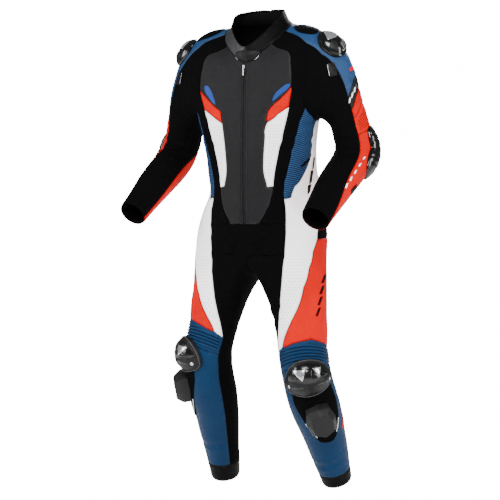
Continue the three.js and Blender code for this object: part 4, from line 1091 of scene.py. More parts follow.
def rounded_net(names):
    """Points, normals, faces and owners of the panels' outer faces, sewn together and rounded."""
    points, cells, owners = sewn_net(names)
    skin = new_mesh_object("skin", points, cells)
    skin.data.polygons.foreach_set("material_index", np.array(owners, np.int32))
    modifier = skin.modifiers.new("round", "SUBSURF")
    modifier.levels = 3
    modifier.render_levels = 3
    modifier.boundary_smooth = "PRESERVE_CORNERS"
    apply_all(skin)
    arrays = face_arrays(skin.data)
    bpy.data.objects.remove(skin)
    return arrays


def press(points, normals, distances):
    """The points moved in at seams and folds, and a little in and out as worn cloth is."""
    groove = sizes().seam_depth * np.exp(-(distances / sizes().seam_width) ** 2)
    pillow = 0.0004 * np.exp(-((distances - 0.008) / 0.004) ** 2)
    waves = slow_waves(points, 0.045, 3.0) * 0.0007 + slow_waves(points, 0.1, 9.0) * 0.0012
    waves *= np.clip(distances / 0.02, 0, 1)
    folds = fold_depths(points, form["smooth"]) * FOLD_STRENGTH
    return points + normals * (pillow + waves - groove - folds)[:, None]


class SUIT_OT_cloth(bpy.types.Operator):
    """Sews the cloth panels into one skin, presses seams, ribs and folds in, and parts them again"""
    bl_idname = "suit.cloth"
    bl_label = "Cloth panels"

    def execute(self, context):
        names = [name for name in sorted(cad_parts) if kind_of(name) in PANELS]
        points, normals, quads, owners = rounded_net(names)
        form["smooth"] = BVHTree.FromPolygons([tuple(point) for point in points], quads.tolist())
        distances = np.full(len(points), 1.0)
        borders = []
        for owner in range(len(names)):
            distance, along = seam_distances(points, quads[owners == owner])
            borders.append((distance, along))
            for index, gap in distance.items():
                distances[index] = min(distances[index], gap)
        moved = press(points, normals, distances)
        form["cloth"] = BVHTree.FromPolygons([tuple(point) for point in moved], quads.tolist())
        form["skin"] = (moved, quads)
        form["edges"] = {}
        for owner, name in enumerate(names):
            own = quads[owners == owner]
            form["edges"][name] = [moved[loop] for loop in border_loops(own)]
            self.panel(name, moved, own, *borders[owner])
        return {"FINISHED"}

    def panel(self, name, points, quads, distance, along):
        """One panel of the skin, with its ribs, wall and lining."""
        used, index = np.unique(quads, return_inverse=True)
        made = new_mesh_object(f"{name}_cloth", points[used], index.reshape(-1, 4).tolist())
        set_attribute(made.data, "seam", [distance[int(i)] for i in used])
        set_attribute(made.data, "run", [along[int(i)] for i in used])
        if kind_of(name).endswith("ribs"):
            raise_ribs(made, name)
            points, _, quads, _ = face_arrays(made.data)
        width, long, area = flat_size(points, quads)
        slot, finish, _ = PANELS[kind_of(name)]
        if name == "collar_right":
            finish = "Collar grey"
        made.data.materials.append(finish_of(finish))
        made.data.materials.append(finish_of("Lining"))
        wall = made.modifiers.new("wall", "SOLIDIFY")
        wall.thickness = sizes().wall
        wall.offset = -1.0
        wall.material_offset = 1
        apply_all(made)
        bpy.ops.object.shade_smooth()
        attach(made, "suit")
        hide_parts(name)
        width = max(width, area / long)


# Plates, pipes and marks

def rounded(corners, tension=0.5, spokes=64):
    """An even closed curve through corners, as points in order."""
    corners = [Vector(corner) for corner in corners]
    count = len(corners)
    fine = []
    for index in range(count):
        p0, p1, p2, p3 = (corners[(index + step) % count] for step in (-1, 0, 1, 2))
        for step in range(24):
            t = step / 24
            m1, m2 = (p2 - p0) * tension, (p3 - p1) * tension
            fine.append(p1 * (2 * t ** 3 - 3 * t ** 2 + 1) + m1 * (t ** 3 - 2 * t ** 2 + t)
                        + p2 * (-2 * t ** 3 + 3 * t ** 2) + m2 * (t ** 3 - t ** 2))
    return evenly(fine + [fine[0]], spokes)


def evenly(line, count):
    """Points at even steps along a line, its end left out."""
    lengths = [0.0]
    for a, b in zip(line, line[1:]):
        lengths.append(lengths[-1] + (b - a).length)
    made = []
    place = 0
    for step in range(count):
        want = lengths[-1] * step / count
        while lengths[place + 1] < want:
            place += 1
        span = lengths[place + 1] - lengths[place]
        made.append(line[place].lerp(line[place + 1], (want - lengths[place]) / max(span, 1e-9)))
    return made


# Rings of a plate, as shares of the way from its middle to its outline
SHARES = (0.1, 0.2, 0.3, 0.4, 0.5, 0.6, 0.68, 0.75, 0.81, 0.86, 0.9, 0.935, 0.96, 0.98, 0.993, 1.0)
# Where a dome's raised lip lies, as such a share
LIP_AT = 0.93


def finish_piece(made, finish, body="suit", smooth=40.0, nodes=()):
    made.data.materials.append(finish_of(finish))
    only(made)
    bpy.ops.object.mode_set(mode="EDIT")
    bpy.ops.mesh.select_all(action="SELECT")
    bpy.ops.mesh.remove_doubles(threshold=0.00002)
    bpy.ops.mesh.normals_make_consistent(inside=False)
    bpy.ops.object.mode_set(mode="OBJECT")
    bpy.ops.object.shade_smooth_by_angle(angle=math.radians(smooth))
    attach(made, body)
    if nodes:
        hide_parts(*nodes)
    # A seam distance far off, so that no painted seam shade falls on the piece
    set_attribute(made.data, "seam", [0.1] * len(made.data.vertices))
    return made


def plate(name, rays, outline, height, finish, slot, nodes=(), root=1.0, centre=(0.0, 0.0), shares=SHARES,
          surface=None, along_normal=False, smooth=40.0, draw_in=False):
    """A closed piece on the cloth. The outline is in the rays' plane, and height(x, y, share) is
    how far its face stands off the cloth there, in millimetres. A piece that is drawn in keeps
    the part of its outline that lies on the cloth."""
    middle = Vector(centre)
    count = len(outline)
    places = [(middle, 0.0)]
    for share in shares:
        places += [(middle.lerp(corner, share), share) for corner in outline]
    bases = []
    for place, share in places:
        ray = rays(place.x, place.y)
        found = drop(ray, surface)
        pulled = 1.0
        while found is None and draw_in and pulled > 0.1:
            pulled -= 0.1
            inner = middle.lerp(place, pulled)
            ray = rays(inner.x, inner.y)
            found = drop(ray, surface)
        if found is None:
            raise RuntimeError(f"{name} reaches past the cloth at {tuple(place)}")
        base, normal = found
        bases.append((base, normal if along_normal else -ray[1]))
    top = [base + way * (height(place.x, place.y, share) * MM)
           for (place, share), (base, way) in zip(places, bases)]
    low = [base - way * (root * MM) for base, way in bases]
    rings = len(shares)
    faces = []
    offset = len(top)
    for spoke in range(count):
        following = (spoke + 1) % count
        faces.append((0, 1 + spoke, 1 + following))
        faces.append((offset, offset + 1 + following, offset + 1 + spoke))
        for ring in range(rings - 1):
            a = 1 + ring * count + spoke
            b = 1 + ring * count + following
            faces.append((a, a + count, b + count, b))
            faces.append((offset + a, offset + b, offset + b + count, offset + a + count))
        a = 1 + (rings - 1) * count + spoke
        b = 1 + (rings - 1) * count + following
        faces.append((a, offset + a, offset + b, b))
    made = new_mesh_object(name, top + low, faces)
    return finish_piece(made, finish, smooth=smooth, nodes=nodes)


def mark(name, corners, finish, slot, thick=0.5, tension=0.05):
    """A flat applied shape, given by its corners in the picture, laid on the cloth it is seen on."""
    x0 = sum(corner[0] for corner in corners) / len(corners)
    y0 = sum(corner[1] for corner in corners) / len(corners)
    outline = rounded([(x - x0, y - y0) for x, y in corners], tension, spokes=48)
    return plate(name, picture_rays(x0, y0), outline, lambda x, y, share: thick, finish, slot,
                 root=0.3, shares=(0.34, 0.67, 0.9, 1.0), along_normal=True, draw_in=True)


def pipe(name, line, radius, finish, closed=False, sides=8, body="suit"):
    """A round cord sewn along a line of points."""
    line = [Vector(point) for point in line]
    count = len(line)
    points, faces = [], []
    across = None
    for index, point in enumerate(line):
        before = line[index - 1] if index or closed else point
        after = line[(index + 1) % count] if index < count - 1 or closed else point
        way = (after - before).normalized()
        if across is None:
            across = way.cross(Vector((0.3, 0.2, 0.9))).normalized()
        across = (across - way * across.dot(way)).normalized()
        other = way.cross(across)
        for side in range(sides):
            turn = 2 * math.pi * side / sides
            points.append(point + (across * math.cos(turn) + other * math.sin(turn)) * radius)
    for index in range(count if closed else count - 1):
        following = (index + 1) % count
        for side in range(sides):
            turned = (side + 1) % sides
            faces.append((index * sides + side, index * sides + turned,
                          following * sides + turned, following * sides + side))
    if not closed:
        faces.append(tuple(range(sides))[::-1])
        faces.append(tuple((count - 1) * sides + side for side in range(sides)))
    made = new_mesh_object(name, points, faces)
    return finish_piece(made, finish, body=body, smooth=60.0)


def over_cloth(rays, places, lift):
    """Points a little off the cloth under places in a plate's plane."""
    made = []
    for x, y in places:
        ray = rays(x, y)
        found = drop(ray)
        if found is not None:
            made.append(found[0] - ray[1] * (lift * MM))
    return made


def dome_height(rim, rise, power, lip=0.0):
    """Height of a dome with a rounded edge and, where asked, a raised lip near its rim."""
    def height(x, y, share):
        value = rim + rise * (1 - min(1.0, share) ** power)
        if lip:
            value += lip * math.exp(-((share - LIP_AT) / 0.035) ** 2)
        edge = max(0.0, (share - 0.965) / 0.035)
        return value - rim * 0.45 * edge ** 2
    return height


def on_dome(name, rays, dome, corners, thick, finish, tension, spokes, root=-3.0,
            shares=(0.25, 0.5, 0.75, 0.9, 0.96, 1.0)):
    """A plate let into a dome, which is given by its outline and height. The plate is as high as
    the dome there and a little more."""
    outline, height = dome
    middle = tuple(sum(values) / len(corners) for values in zip(*corners))

    def raised(x, y, share):
        angle = math.atan2(y, x)
        nearest = min(outline, key=lambda corner: abs(
            math.remainder(math.atan2(corner.y, corner.x) - angle, math.tau)))
        edge = max(0.0, (share - 0.8) / 0.2)
        return height(x, y, math.hypot(x, y) / nearest.length) + thick - 0.5 * thick * edge ** 2
    plate(name, rays, rounded(corners, tension, spokes), raised, finish, "gloss_armour", centre=middle,
          root=root, shares=shares, surface=form["smooth"])


class SUIT_OT_shoulders(bpy.types.Operator):
    """Shoulder cups with their inserts and polished plates as painted highlights, neck-side pads and the tabs
    on the upper arms
    """
    bl_idname = "suit.shoulders"
    bl_label = "Shoulder pieces"

    def execute(self, context):
        for side, sign in (("left", 1), ("right", -1)):
            rays = shoulder_rays(sign, (56, -27, 66))
            outline = rounded([(46, -21), (32, 34), (0, 42), (-37, 29), (-46, -8), (-23, -38), (23, -42)])
            dome = (outline, dome_height(4, 18, 2.4, lip=1.6))
            plate(f"shoulder_cup_{side}_shell", rays, *dome, "Gloss armour", "gloss_armour",
                  nodes=[f"shoulder_cup_{side}"], surface=form["smooth"])
            parts = [
                # The two polished plates are painted highlights on the gloss cup
                ("plate_a", [(-30, 2), (-8, 24), (0, 2), (-10, -16)], 1.3, "Polished insert", 0.08, 40),
                ("plate_b", [(8, 26), (30, 20), (34, -10), (14, -2)], 1.1, "Polished insert", 0.08, 40),
                ("plate_c", [(-4, -10), (10, -8), (24, -24), (2, -30)], 1.0, "Satin armour", 0.08, 40),
            ]
            for step in range(4):
                y = 16 - step * 7
                corners = [(12, y + 1.2), (31, y - 1.5), (31, y - 4), (12, y - 1.4)]
                parts.append((f"louvre_{step}", corners, 2.0, "Gloss armour", 0.05, 16))
            for part, *rest in parts:
                on_dome(f"shoulder_cup_{side}_{part}", rays, dome, *rest, root=-2.0,
                        shares=(0.3, 0.6, 0.8, 0.9, 0.96, 1.0))
            pad = shoulder_rays(sign, (-36, -12, 98))
            pad_shape = rounded([(20, -10), (14, 16), (0, 20), (-16, 14), (-20, -4), (-10, -18), (10, -20)])

            def ribs(x, y, share):
                return 1.6 + 1.4 * abs(math.sin(math.pi * (x + y * 0.5) / 6.5)) * (1 - share ** 4)
            padded = plate(f"shoulder_pad_{side}_ribbed", pad, pad_shape, ribs, "Black leather",
                           "black_leather", nodes=[f"shoulder_pad_{side}"])
            tab = limb_rays(f"sleeve_{side}", 92, 15, 58)
            tab_shape = rounded([(12, 18), (0, 20), (-12, 18), (-12, -18), (0, -20), (12, -18)], 0.25, 48)
            plate(f"arm_tab_{side}_moulded", tab, tab_shape, dome_height(3, 1, 2.4), "Black rubber",
                  "black_rubber", nodes=[f"arm_tab_{side}"])
            strip = over_cloth(tab, [(-10.5, 17 - step * 4.25) for step in range(9)], 3.6)
            pipe(f"arm_tab_{side}_edge", strip, 0.0007, "Polished insert")
        return {"FINISHED"}


class SUIT_OT_elbows(bpy.types.Operator):
    """Ribbed elbow guards and the small tabs on the forearms"""
    bl_idname = "suit.elbows"
    bl_label = "Elbow pieces"

    def execute(self, context):
        for side in ("left", "right"):
            rays = limb_rays(f"sleeve_{side}", 338, 112, ELBOW_RADIUS)
            shape = rounded([(38, 0), (32, 54), (0, 68), (-32, 54), (-38, 0), (-28, -58), (0, -68),
                             (28, -58)], spokes=96)

            def guard(x, y, share):
                value = 4 + 18 * (1 - share ** 2.4)
                step = abs(math.sin(math.pi * (y + abs(x) * 0.35) / 17.0)) ** 0.5
                edge = max(0.0, (share - 0.95) / 0.05)
                return value - 2.6 * (1 - step) * (1 - share ** 6) - 2.0 * edge ** 2
            fine = [step / 34 for step in range(1, 33)] + [0.965, 0.985, 1.0]
            plate(f"elbow_guard_{side}_shell", rays, shape, guard, "Gloss armour", "gloss_armour",
                  nodes=[f"elbow_guard_{side}"], surface=form["smooth"], shares=fine)
            tab = limb_rays(f"sleeve_{side}", 486, 100, 48)
            tab_shape = rounded([(7, 17), (-7, 17), (-7, -17), (7, -17)], 0.08, 32)
            plate(f"forearm_tab_{side}", tab, tab_shape, dome_height(2.0, 0.6, 3), "Black rubber",
                  "black_rubber")
        return {"FINISHED"}


class SUIT_OT_knees(bpy.types.Operator):
    """Knee shells, the black bases under them and the faceted knee sliders"""
    bl_idname = "suit.knees"
    bl_label = "Knee pieces"

    def execute(self, context):
        for side, shell_turn, slider_turn, slider_drop in (("left", 28, 32, 116), ("right", 42, 62, 104)):
            self.shell(side, shell_turn)
            self.base(side, slider_turn)
            self.slider(side, slider_turn, slider_drop)
        return {"FINISHED"}

    def shell(self, side, turn):
        rays = limb_rays(f"leg_{side}", 0, turn, KNEE_RADIUS)
        shape = rounded([(74, -14), (66, 14), (40, 38), (0, 46), (-40, 38), (-66, 14), (-74, -14), (-40, -32),
                         (0, -38), (40, -32)], spokes=128)

        def height(x, y, share):
            wing = max(0.0, abs(x) * 0.62 - (y + 14))
            crease = math.exp(-((y + 8 - abs(x) * 0.28) / 2.2) ** 2)
            lip = math.exp(-((share - LIP_AT) / 0.028) ** 2)
            edge = max(0.0, (share - 0.965) / 0.035)
            value = 8 + 26 * (1 - share ** 2.2) - 0.05 * wing
            return value - 1.5 * crease * (1 - share ** 5) + 1.8 * lip - 4.0 * edge ** 2
        fine = [step / 32 for step in range(1, 30)] + [0.93, 0.95, 0.965, 0.98, 0.992, 1.0]
        plate(f"knee_shell_{side}_dome", rays, shape, height, "Satin armour", "gloss_armour",
              nodes=[f"knee_shell_{side}"], surface=form["smooth"], shares=fine)
        lift = (height(0, 40, LIP_AT) + 0.2) * MM
        rim = []
        for corner in shape:
            ray = rays(corner.x * LIP_AT, corner.y * LIP_AT)
            rim.append(drop(ray, form["smooth"])[0] - ray[1] * lift)
        pipe(f"knee_shell_{side}_rim", rim, 0.0009, "Grey trim", closed=True, sides=6)
        crown = [(-58, 4), (-50, 18), (-26, 32), (0, 37), (26, 32), (50, 18), (58, 4), (30, 4), (0, -6),
                 (-30, 4)]
        parts = [
            ("crown", crown, 0.8, "Gloss armour", 0.06, 96),
            # The two polished plates are painted reflections on the gloss shell
            ("plate_a", [(-36, 25), (-6, 24), (-15, 3)], 1.7, "Polished insert", 0.06, 48),
            ("plate_b", [(10, 25), (32, 24), (22, 9)], 1.7, "Polished insert", 0.06, 48),
            ("ridge", [(-5, 27), (8, 22), (2, 0), (-12, 1)], 2.4, "Gloss armour", 0.06, 48),
            ("band_a", [(-44, -8), (-16, -8), (-16, -12), (-42, -12)], 1.0, "Gloss armour", 0.06, 48),
            ("band_b", [(44, -8), (16, -8), (16, -12), (42, -12)], 1.0, "Gloss armour", 0.06, 48),
        ]
        for step in range(5):
            y = -4.5 - step * 4.2
            half = 10 - step * 0.8
            corners = [(-half, y + 1.3), (half, y + 1.3), (half, y - 1.3), (-half, y - 1.3)]
            parts.append((f"rib_{step}", corners, 1.3, "Satin armour", 0.06, 20))
        for part, x in (("screw_a", 52), ("screw_b", -52)):
            corners = [(x + 4, -8), (x, -4), (x - 4, -8), (x, -12)]
            parts.append((part, corners, 1.2, "Polished insert", 0.5, 20))
        for part, *rest in parts:
            on_dome(f"knee_shell_{side}_{part}", rays, (shape, height), *rest)

    def base(self, side, turn):
        rays = limb_rays(f"leg_{side}", 110, turn, KNEE_RADIUS)
        corners = [(74, 40), (60, 96), (0, 110), (-60, 96), (-72, 60), (-56, 0), (-44, -50), (-26, -92),
                   (20, -100), (52, -70), (66, -20)]
        shape = rounded(corners, 0.4, 96)

        def height(x, y, share):
            channel = math.exp(-((share - 0.9) / 0.02) ** 2)
            return 2.6 - 0.9 * channel - 1.6 * max(0.0, (share - 0.96) / 0.04) ** 2
        made = plate(f"knee_base_{side}_pad", rays, shape, height, "Black stretch", "black_stretch",
                     nodes=[f"knee_base_{side}"],
                     shares=(0.15, 0.3, 0.45, 0.6, 0.72, 0.82, 0.87, 0.9, 0.93, 0.96, 0.985, 1.0))
        for part, places in (("a", [(-51, -12), (-47, -28), (-42, -43), (-36, -58), (-29, -72)]),
                             ("b", [(40, -74), (48, -62), (55, -46), (60, -32)])):
            line = over_cloth(rays, places, 3.0)
            pipe(f"knee_base_{side}_piping_{part}", line, 0.0011, "White mark")

    def slider(self, side, turn, along):
        rays = limb_rays(f"leg_{side}", along, turn, KNEE_RADIUS)
        corners = [(44, 10), (33, 46), (0, 52), (-36, 43), (-46, 6), (-38, -34), (0, -50), (40, -34)]
        ray = rays(0, 0)
        centre = drop(ray, form["smooth"])[0]
        out = -ray[1]
        right = (rays(1, 0)[0] - rays(-1, 0)[0]).normalized()
        right = (right - out * right.dot(out)).normalized()
        up = out.cross(right).normalized()
        if up.z < 0:
            up.negate()
        def over(x, y, high):
            """A place off the cloth, on the slider's gently rounded face."""
            return centre + right * (x * MM) + up * (y * MM) + out * ((high - 8 * (x / 46) ** 2) * MM)
        levels = ((1.0, 1.0, None), (1.0, 1.0, 20), (0.97, 0.97, 24), (0.72, 0.74, 40), (0.70, 0.72, 41))
        points, faces = [], []
        count = len(corners)
        for wide, tall, high in levels:
            for x, y in corners:
                x, y = x * wide, y * tall
                points.append(drop(rays(x, y), form["smooth"])[0] - out * 0.001 if high is None
                              else over(x, y, high))
        for level in range(len(levels) - 1):
            for corner in range(count):
                following = (corner + 1) % count
                a, b = level * count + corner, level * count + following
                faces.append((a, b, b + count, a + count))
        faces.append(tuple(range(count))[::-1])
        faces.append(tuple((len(levels) - 1) * count + corner for corner in range(count)))
        made = new_mesh_object(f"knee_slider_{side}_block", points, faces)
        only(made)
        bpy.ops.object.mode_set(mode="EDIT")
        bpy.ops.mesh.select_all(action="SELECT")
        bpy.ops.mesh.normals_make_consistent(inside=False)
        bpy.ops.object.mode_set(mode="OBJECT")
        bevel = made.modifiers.new("edges", "BEVEL")
        bevel.width = 0.0016
        bevel.segments = 3
        bevel.limit_method = "ANGLE"
        bevel.angle_limit = math.radians(14)
        apply_all(made)
        finish_piece(made, "Slider plastic", smooth=35.0, nodes=[f"knee_slider_{side}"])
        for step in range(6):
            x = 27 + step * 2.6
            line = [over(x, -14 + place * 4.5, 31.0 - step * 1.9) for place in range(7)]
            pipe(f"knee_slider_{side}_line_{step}", line, 0.0008, "Satin armour", sides=6)


# Heights of the zip's top, of the front panels' end and of the end of the space over the zip, and
# half the gap between the front panels, in metres
ZIP_TOP = -0.048
FRONT_END = -0.553
BRIDGE_END = -0.626
ZIP_EDGE = 0.0062


class SUIT_OT_zip(bpy.types.Operator):
    """Zip teeth, facings, stitch lines, slider and pull, and the collar's tab and rolled edges"""
    bl_idname = "suit.zip"
    bl_label = "Zip and collar"

    def execute(self, context):
        self.bridge()
        self.facings()
        self.teeth()
        self.collar()
        for name in ("zip_tape", "zip_slider", "zip_pull"):
            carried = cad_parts[name]
            carried.data.materials.clear()
            carried.data.materials.append(finish_of("Zip cloth" if name == "zip_tape" else "Zip metal"))
        return {"FINISHED"}

    def front_line(self, x, end=FRONT_END, count=150):
        """Places on the cloth down the front, beside the zip."""
        points = []
        for step in range(count):
            z = ZIP_TOP + (end - ZIP_TOP) * step / (count - 1)
            found = drop((Vector((x, -0.4, z)), Vector((0, 1, 0))))
            if found is not None:
                points.append(found[0])
        return points

    def bridge(self):
        """The cloth with the space over the zip closed, for what lies across it."""
        points, quads = form["skin"]
        edge = self.front_line(ZIP_EDGE, end=BRIDGE_END)
        strip = [(sign * ZIP_EDGE, point.y, point.z) for point in edge for sign in (1, -1)]
        first = len(points)
        faces = [(first + 2 * step, first + 2 * step + 1, first + 2 * step + 3, first + 2 * step + 2)
                 for step in range(len(edge) - 1)]
        form["bridge"] = BVHTree.FromPolygons(
            [tuple(point) for point in points] + strip, quads.tolist() + faces)

    def facings(self):
        for side, sign in (("left", 1), ("right", -1)):
            edge = self.front_line(sign * ZIP_EDGE)
            lines = []
            for across, out in ((ZIP_EDGE, 0.0), (0.0050, 0.0012), (0.0022, 0.0010), (0.0014, 0.0002),
                                (0.0014, -0.0008), (ZIP_EDGE, -0.0012)):
                lines.append([Vector((sign * across, point.y - out, point.z)) for point in edge])
            points = [point for line in lines for point in line]
            faces = []
            count = len(edge)
            for index in range(len(lines)):
                following = (index + 1) % len(lines)
                for step in range(count - 1):
                    a, b = index * count + step, following * count + step
                    faces.append((a, b, b + 1, a + 1))
            faces.append(tuple(index * count for index in range(len(lines))))
            faces.append(tuple(index * count + count - 1 for index in range(len(lines)))[::-1])
            made = new_mesh_object(f"zip_facing_{side}", points, faces)
            finish_piece(made, "Grey leather", smooth=50.0)
            for part, x in (("inner", 0.0085), ("outer", 0.0145)):
                line = [point + Vector((0, -0.0002, 0)) for point in self.front_line(sign * x)]
                pipe(f"zip_stitch_{side}_{part}", line, 0.0005, "Grey leather", sides=5)

    def teeth(self):
        line = self.front_line(ZIP_EDGE, count=200)
        points, faces = [], []
        for index, point in enumerate(line):
            sign = 1 if index % 2 else -1
            middle = Vector((sign * 0.0007, point.y + 0.0012, point.z))
            start = len(points)
            for x in (-0.0013, 0.0013):
                for y in (-0.0010, 0.0006):
                    for z in (-0.0008, 0.0008):
                        points.append(middle + Vector((x, y, z)))
            for face in ((0, 1, 3, 2), (4, 6, 7, 5), (0, 4, 5, 1), (2, 3, 7, 6), (0, 2, 6, 4), (1, 5, 7, 3)):
                faces.append(tuple(start + corner for corner in face))
        made = new_mesh_object("zip_teeth", points, faces)
        finish_piece(made, "Satin armour", smooth=30.0)

    def collar(self):
        def rays(x, y):
            return Vector((0.007 + x * MM, -0.4, -0.062 + y * MM)), Vector((0, 1, 0))
        shape = rounded([(42, 6), (34, 16), (0, 18), (-34, 16), (-42, 6), (-30, -10), (0, -18), (30, -10)],
                        0.3, 96)

        def height(x, y, share):
            rim = math.exp(-((share - 0.9) / 0.05) ** 2)
            return 4.0 + 0.6 * rim - 2.4 * max(0.0, (share - 0.93) / 0.07) ** 2
        plate("collar_tab_moulded", rays, shape, height, "Black rubber", "black_rubber", nodes=["collar_tab"],
              surface=form["bridge"])
        for part, sign in (("a", -1), ("b", 1)):
            places = [(sign * (38 - step * 2.4), -1 - step * 2.6) for step in range(5)]
            made = []
            for x, y in places:
                ray = rays(x, y)
                found = drop(ray, form["bridge"])
                made.append(found[0] - ray[1] * 0.0046)
            pipe(f"collar_tab_end_{part}", made, 0.0011, "Polished insert")
        for name in ("collar_left", "collar_right"):
            others = [point for owner, loops in form["edges"].items() if owner != name
                      for loop in loops for point in loop]
            tree = KDTree(len(others))
            for index, point in enumerate(others):
                tree.insert(point, index)
            tree.balance()
            loop = max(form["edges"][name], key=len)
            free = [tree.find(point)[2] > 0.004 for point in loop]
            start = next(index for index in range(len(loop)) if free[index] and not free[index - 1])
            rim = [Vector(loop[(start + step) % len(loop)]) for step in range(len(loop))
                   if free[(start + step) % len(loop)]]
            pipe(f"{name}_roll", rim[::2], 0.0022, "Black leather", sides=10)


class SUIT_OT_accents(bpy.types.Operator):
    """Chest leaves, hip bars, sleeve and thigh bars and other small applied shapes"""
    bl_idname = "suit.accents"
    bl_label = "Applied shapes"

    def execute(self, context):
        leaf = ("Accent blue leather", "blue_leather", 0.8, 0.4)
        mark("chest_leaf_left", [(290.5, 84.5), (287, 84), (281, 88), (275, 94), (272.2, 100.5), (274.5, 100),
                                 (280, 95), (287, 89.5)], *leaf)
        mark("chest_leaf_right", [(205, 86), (208.5, 86.5), (212.5, 94), (215.5, 104), (213, 103),
                                  (208.5, 97), (205, 91)], *leaf)
        # A black shape over the collar's front seam stands for the gap between the collar's ends: partly the
        # dark parts seen through it, partly painted shade
        mark("collar_slot", [(243.9, 47.6), (246.1, 47.6), (246.0, 51), (244.2, 51)], "Black rubber",
             "black_rubber", 0.6)
        bars = (
            ("hip_bar_a", [(313.4, 158), (315, 157), (313.6, 168), (312, 170)]),
            ("hip_bar_b", [(310.6, 171), (313.4, 170), (311.6, 182), (309, 184.5)]),
            ("hip_bar_c", [(307.8, 185.5), (311.4, 184), (310.1, 191.5), (307.3, 195)]),
        )
        for name, corners in bars:
            mark(name, corners, "Grey leather", "grey_leather")
        mark("flank_block_left", [(301, 165.5), (309.5, 157.5), (310, 160), (301.5, 168)], "Black leather",
             "black_leather")
        for step in range(3):
            x, y = 348.9 + step * 2.4, 103.4 - step * 5.2
            corners = [(x, y), (x + 1.4, y - 1.8), (x + 1.8, y - 6.4), (x + 0.4, y - 4.6)]
            mark(f"sleeve_bar_left_{step}", corners, "White mark", "white_leather", 0.4)
        for step in range(5):
            x, y = 345 + step * 4.4, 188 - step * 7.2
            tall = 4.2 - step * 0.5
            corners = [(x, y), (x + 1.5, y - tall), (x + 3.2, y - tall - 0.8), (x + 1.7, y)]
            mark(f"forearm_bar_left_{step}", corners, "White mark", "white_leather", 0.4)
        for step in range(4):
            x, y = 315.5 + step * 1.9, 316 - step * 11
            mark(f"thigh_bar_left_{step}", [(x, y), (x + 3, y - 8), (x + 5.4, y - 8.6), (x + 2.4, y)],
                 "Black leather", "black_leather", 0.4)
        mark("shin_flash_left", [(341, 411), (343.2, 410), (344.4, 420), (343.4, 428), (342, 427),
                                 (342.8, 419)], "Red leather", "red_leather", 0.6, tension=0.3)
        mark("shoulder_flash_left", [(349, 69), (353, 65.5), (354, 69), (350.4, 71.6)], "Red leather",
             "red_leather")
        return {"FINISHED"}


# Stage

# Height of the floor, just under the hems, in metres
FLOOR_HEIGHT = -1.43

# Each lamp: its name, place, aim, width and height in metres, and power in watts
LAMPS = (
    ("key", (1.2, -3.6, 1.9), (0, 0, -0.5), 1.5, 1.5, 240),
    ("fill", (-2.6, -2.6, 0.5), (0, 0, -0.6), 1.0, 2.2, 118),
    ("side", (3.3, -0.6, 0.3), (0.1, 0, -0.5), 0.8, 2.6, 110),
    ("rim", (-0.6, 3.4, 1.4), (0, 0, -0.4), 2.4, 1.6, 110),
)


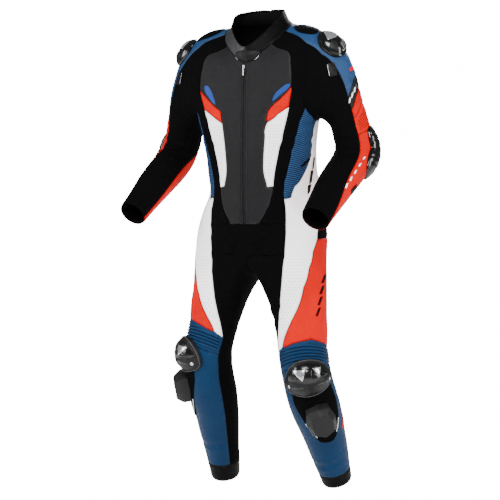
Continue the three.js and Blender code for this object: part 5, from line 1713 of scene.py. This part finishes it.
class SUIT_OT_stage(bpy.types.Operator):
    """Camera at the photograph's angle, pale floor and soft studio light"""
    bl_idname = "suit.stage"
    bl_label = "Stage"

    def execute(self, context):
        self.camera(context.scene)
        self.floor(context)
        self.world(context.scene)
        for lamp in LAMPS:
            self.lamp(context.scene, *lamp)
        return {"FINISHED"}

    def camera(self, scene):
        camera = bpy.data.cameras.new("view")
        camera.lens = CAMERA_LENS
        camera.sensor_width = SENSOR
        camera.dof.use_dof = False
        holder = bpy.data.objects.new("view", camera)
        holder.location = CAMERA_PLACE
        holder.rotation_euler = CAMERA_TURN
        scene.collection.objects.link(holder)
        scene.camera = holder

    def floor(self, context):
        bpy.ops.object.select_all(action="DESELECT")
        bpy.ops.mesh.primitive_plane_add(size=16, location=(0, 0, FLOOR_HEIGHT))
        floor = context.active_object
        floor.name = "floor"
        made, tree, shader = blank_material("Floor", 0.9)
        shader.inputs["Base Color"].default_value = (0.93, 0.93, 0.93, 1)
        shader.inputs["Emission Color"].default_value = (1, 1, 1, 1)
        seen = node(tree, "ShaderNodeLightPath").outputs["Is Camera Ray"]
        tree.links.new(calc(tree, "MULTIPLY", seen, BACKDROP), shader.inputs["Emission Strength"])
        floor.data.materials.append(made)

    def world(self, scene):
        """Soft light from all round, weaker in reflections."""
        world = bpy.data.worlds.new("studio")
        world.use_nodes = True
        tree = world.node_tree
        background = tree.nodes["Background"]
        background.inputs[0].default_value = (1, 1, 1, 1)
        seen = node(tree, "ShaderNodeLightPath")
        shown = calc(tree, "MULTIPLY", seen.outputs["Is Camera Ray"], BACKDROP)
        soft = calc(tree, "MULTIPLY_ADD", seen.outputs["Is Glossy Ray"], -0.7, 0.92)
        tree.links.new(calc(tree, "MAXIMUM", shown, soft), background.inputs[1])
        scene.world = world

    def lamp(self, scene, name, place, aim, wide, tall, power):
        light = bpy.data.lights.new(name, "AREA")
        light.shape = "RECTANGLE"
        light.size = wide
        light.size_y = tall
        light.energy = power
        lamp = bpy.data.objects.new(name, light)
        lamp.location = place
        lamp.rotation_euler = (Vector(aim) - Vector(place)).to_track_quat("-Z", "Y").to_euler()
        scene.collection.objects.link(lamp)


class SUIT_PT_panel(bpy.types.Panel):
    bl_label = "Race suit"
    bl_space_type = "VIEW_3D"
    bl_region_type = "UI"
    bl_category = "Race suit"

    def draw(self, context):
        for group in (context.scene.suit_colours, context.scene.suit_sizes):
            for name in group.bl_rna.properties.keys():
                if name not in ("rna_type", "name"):
                    self.layout.prop(group, name)
        for operator in OPERATORS:
            self.layout.operator(operator.bl_idname)


OPERATORS = (SUIT_OT_stage, SUIT_OT_cloth, SUIT_OT_shoulders, SUIT_OT_elbows, SUIT_OT_knees, SUIT_OT_zip,
             SUIT_OT_accents)
CLASSES = (SuitColours, SuitSizes, *OPERATORS, SUIT_PT_panel)


def register():
    for item in CLASSES:
        bpy.utils.register_class(item)
    bpy.types.Scene.suit_colours = bpy.props.PointerProperty(type=SuitColours)
    bpy.types.Scene.suit_sizes = bpy.props.PointerProperty(type=SuitSizes)


def unregister():
    del bpy.types.Scene.suit_sizes
    del bpy.types.Scene.suit_colours
    for item in reversed(CLASSES):
        bpy.utils.unregister_class(item)


def main():
    register()
    bpy.ops.suit.stage()
    bpy.ops.suit.cloth()
    bpy.ops.suit.zip()
    bpy.ops.suit.shoulders()
    bpy.ops.suit.elbows()
    bpy.ops.suit.knees()
    bpy.ops.suit.accents()


if __name__ == "__main__":
    main()
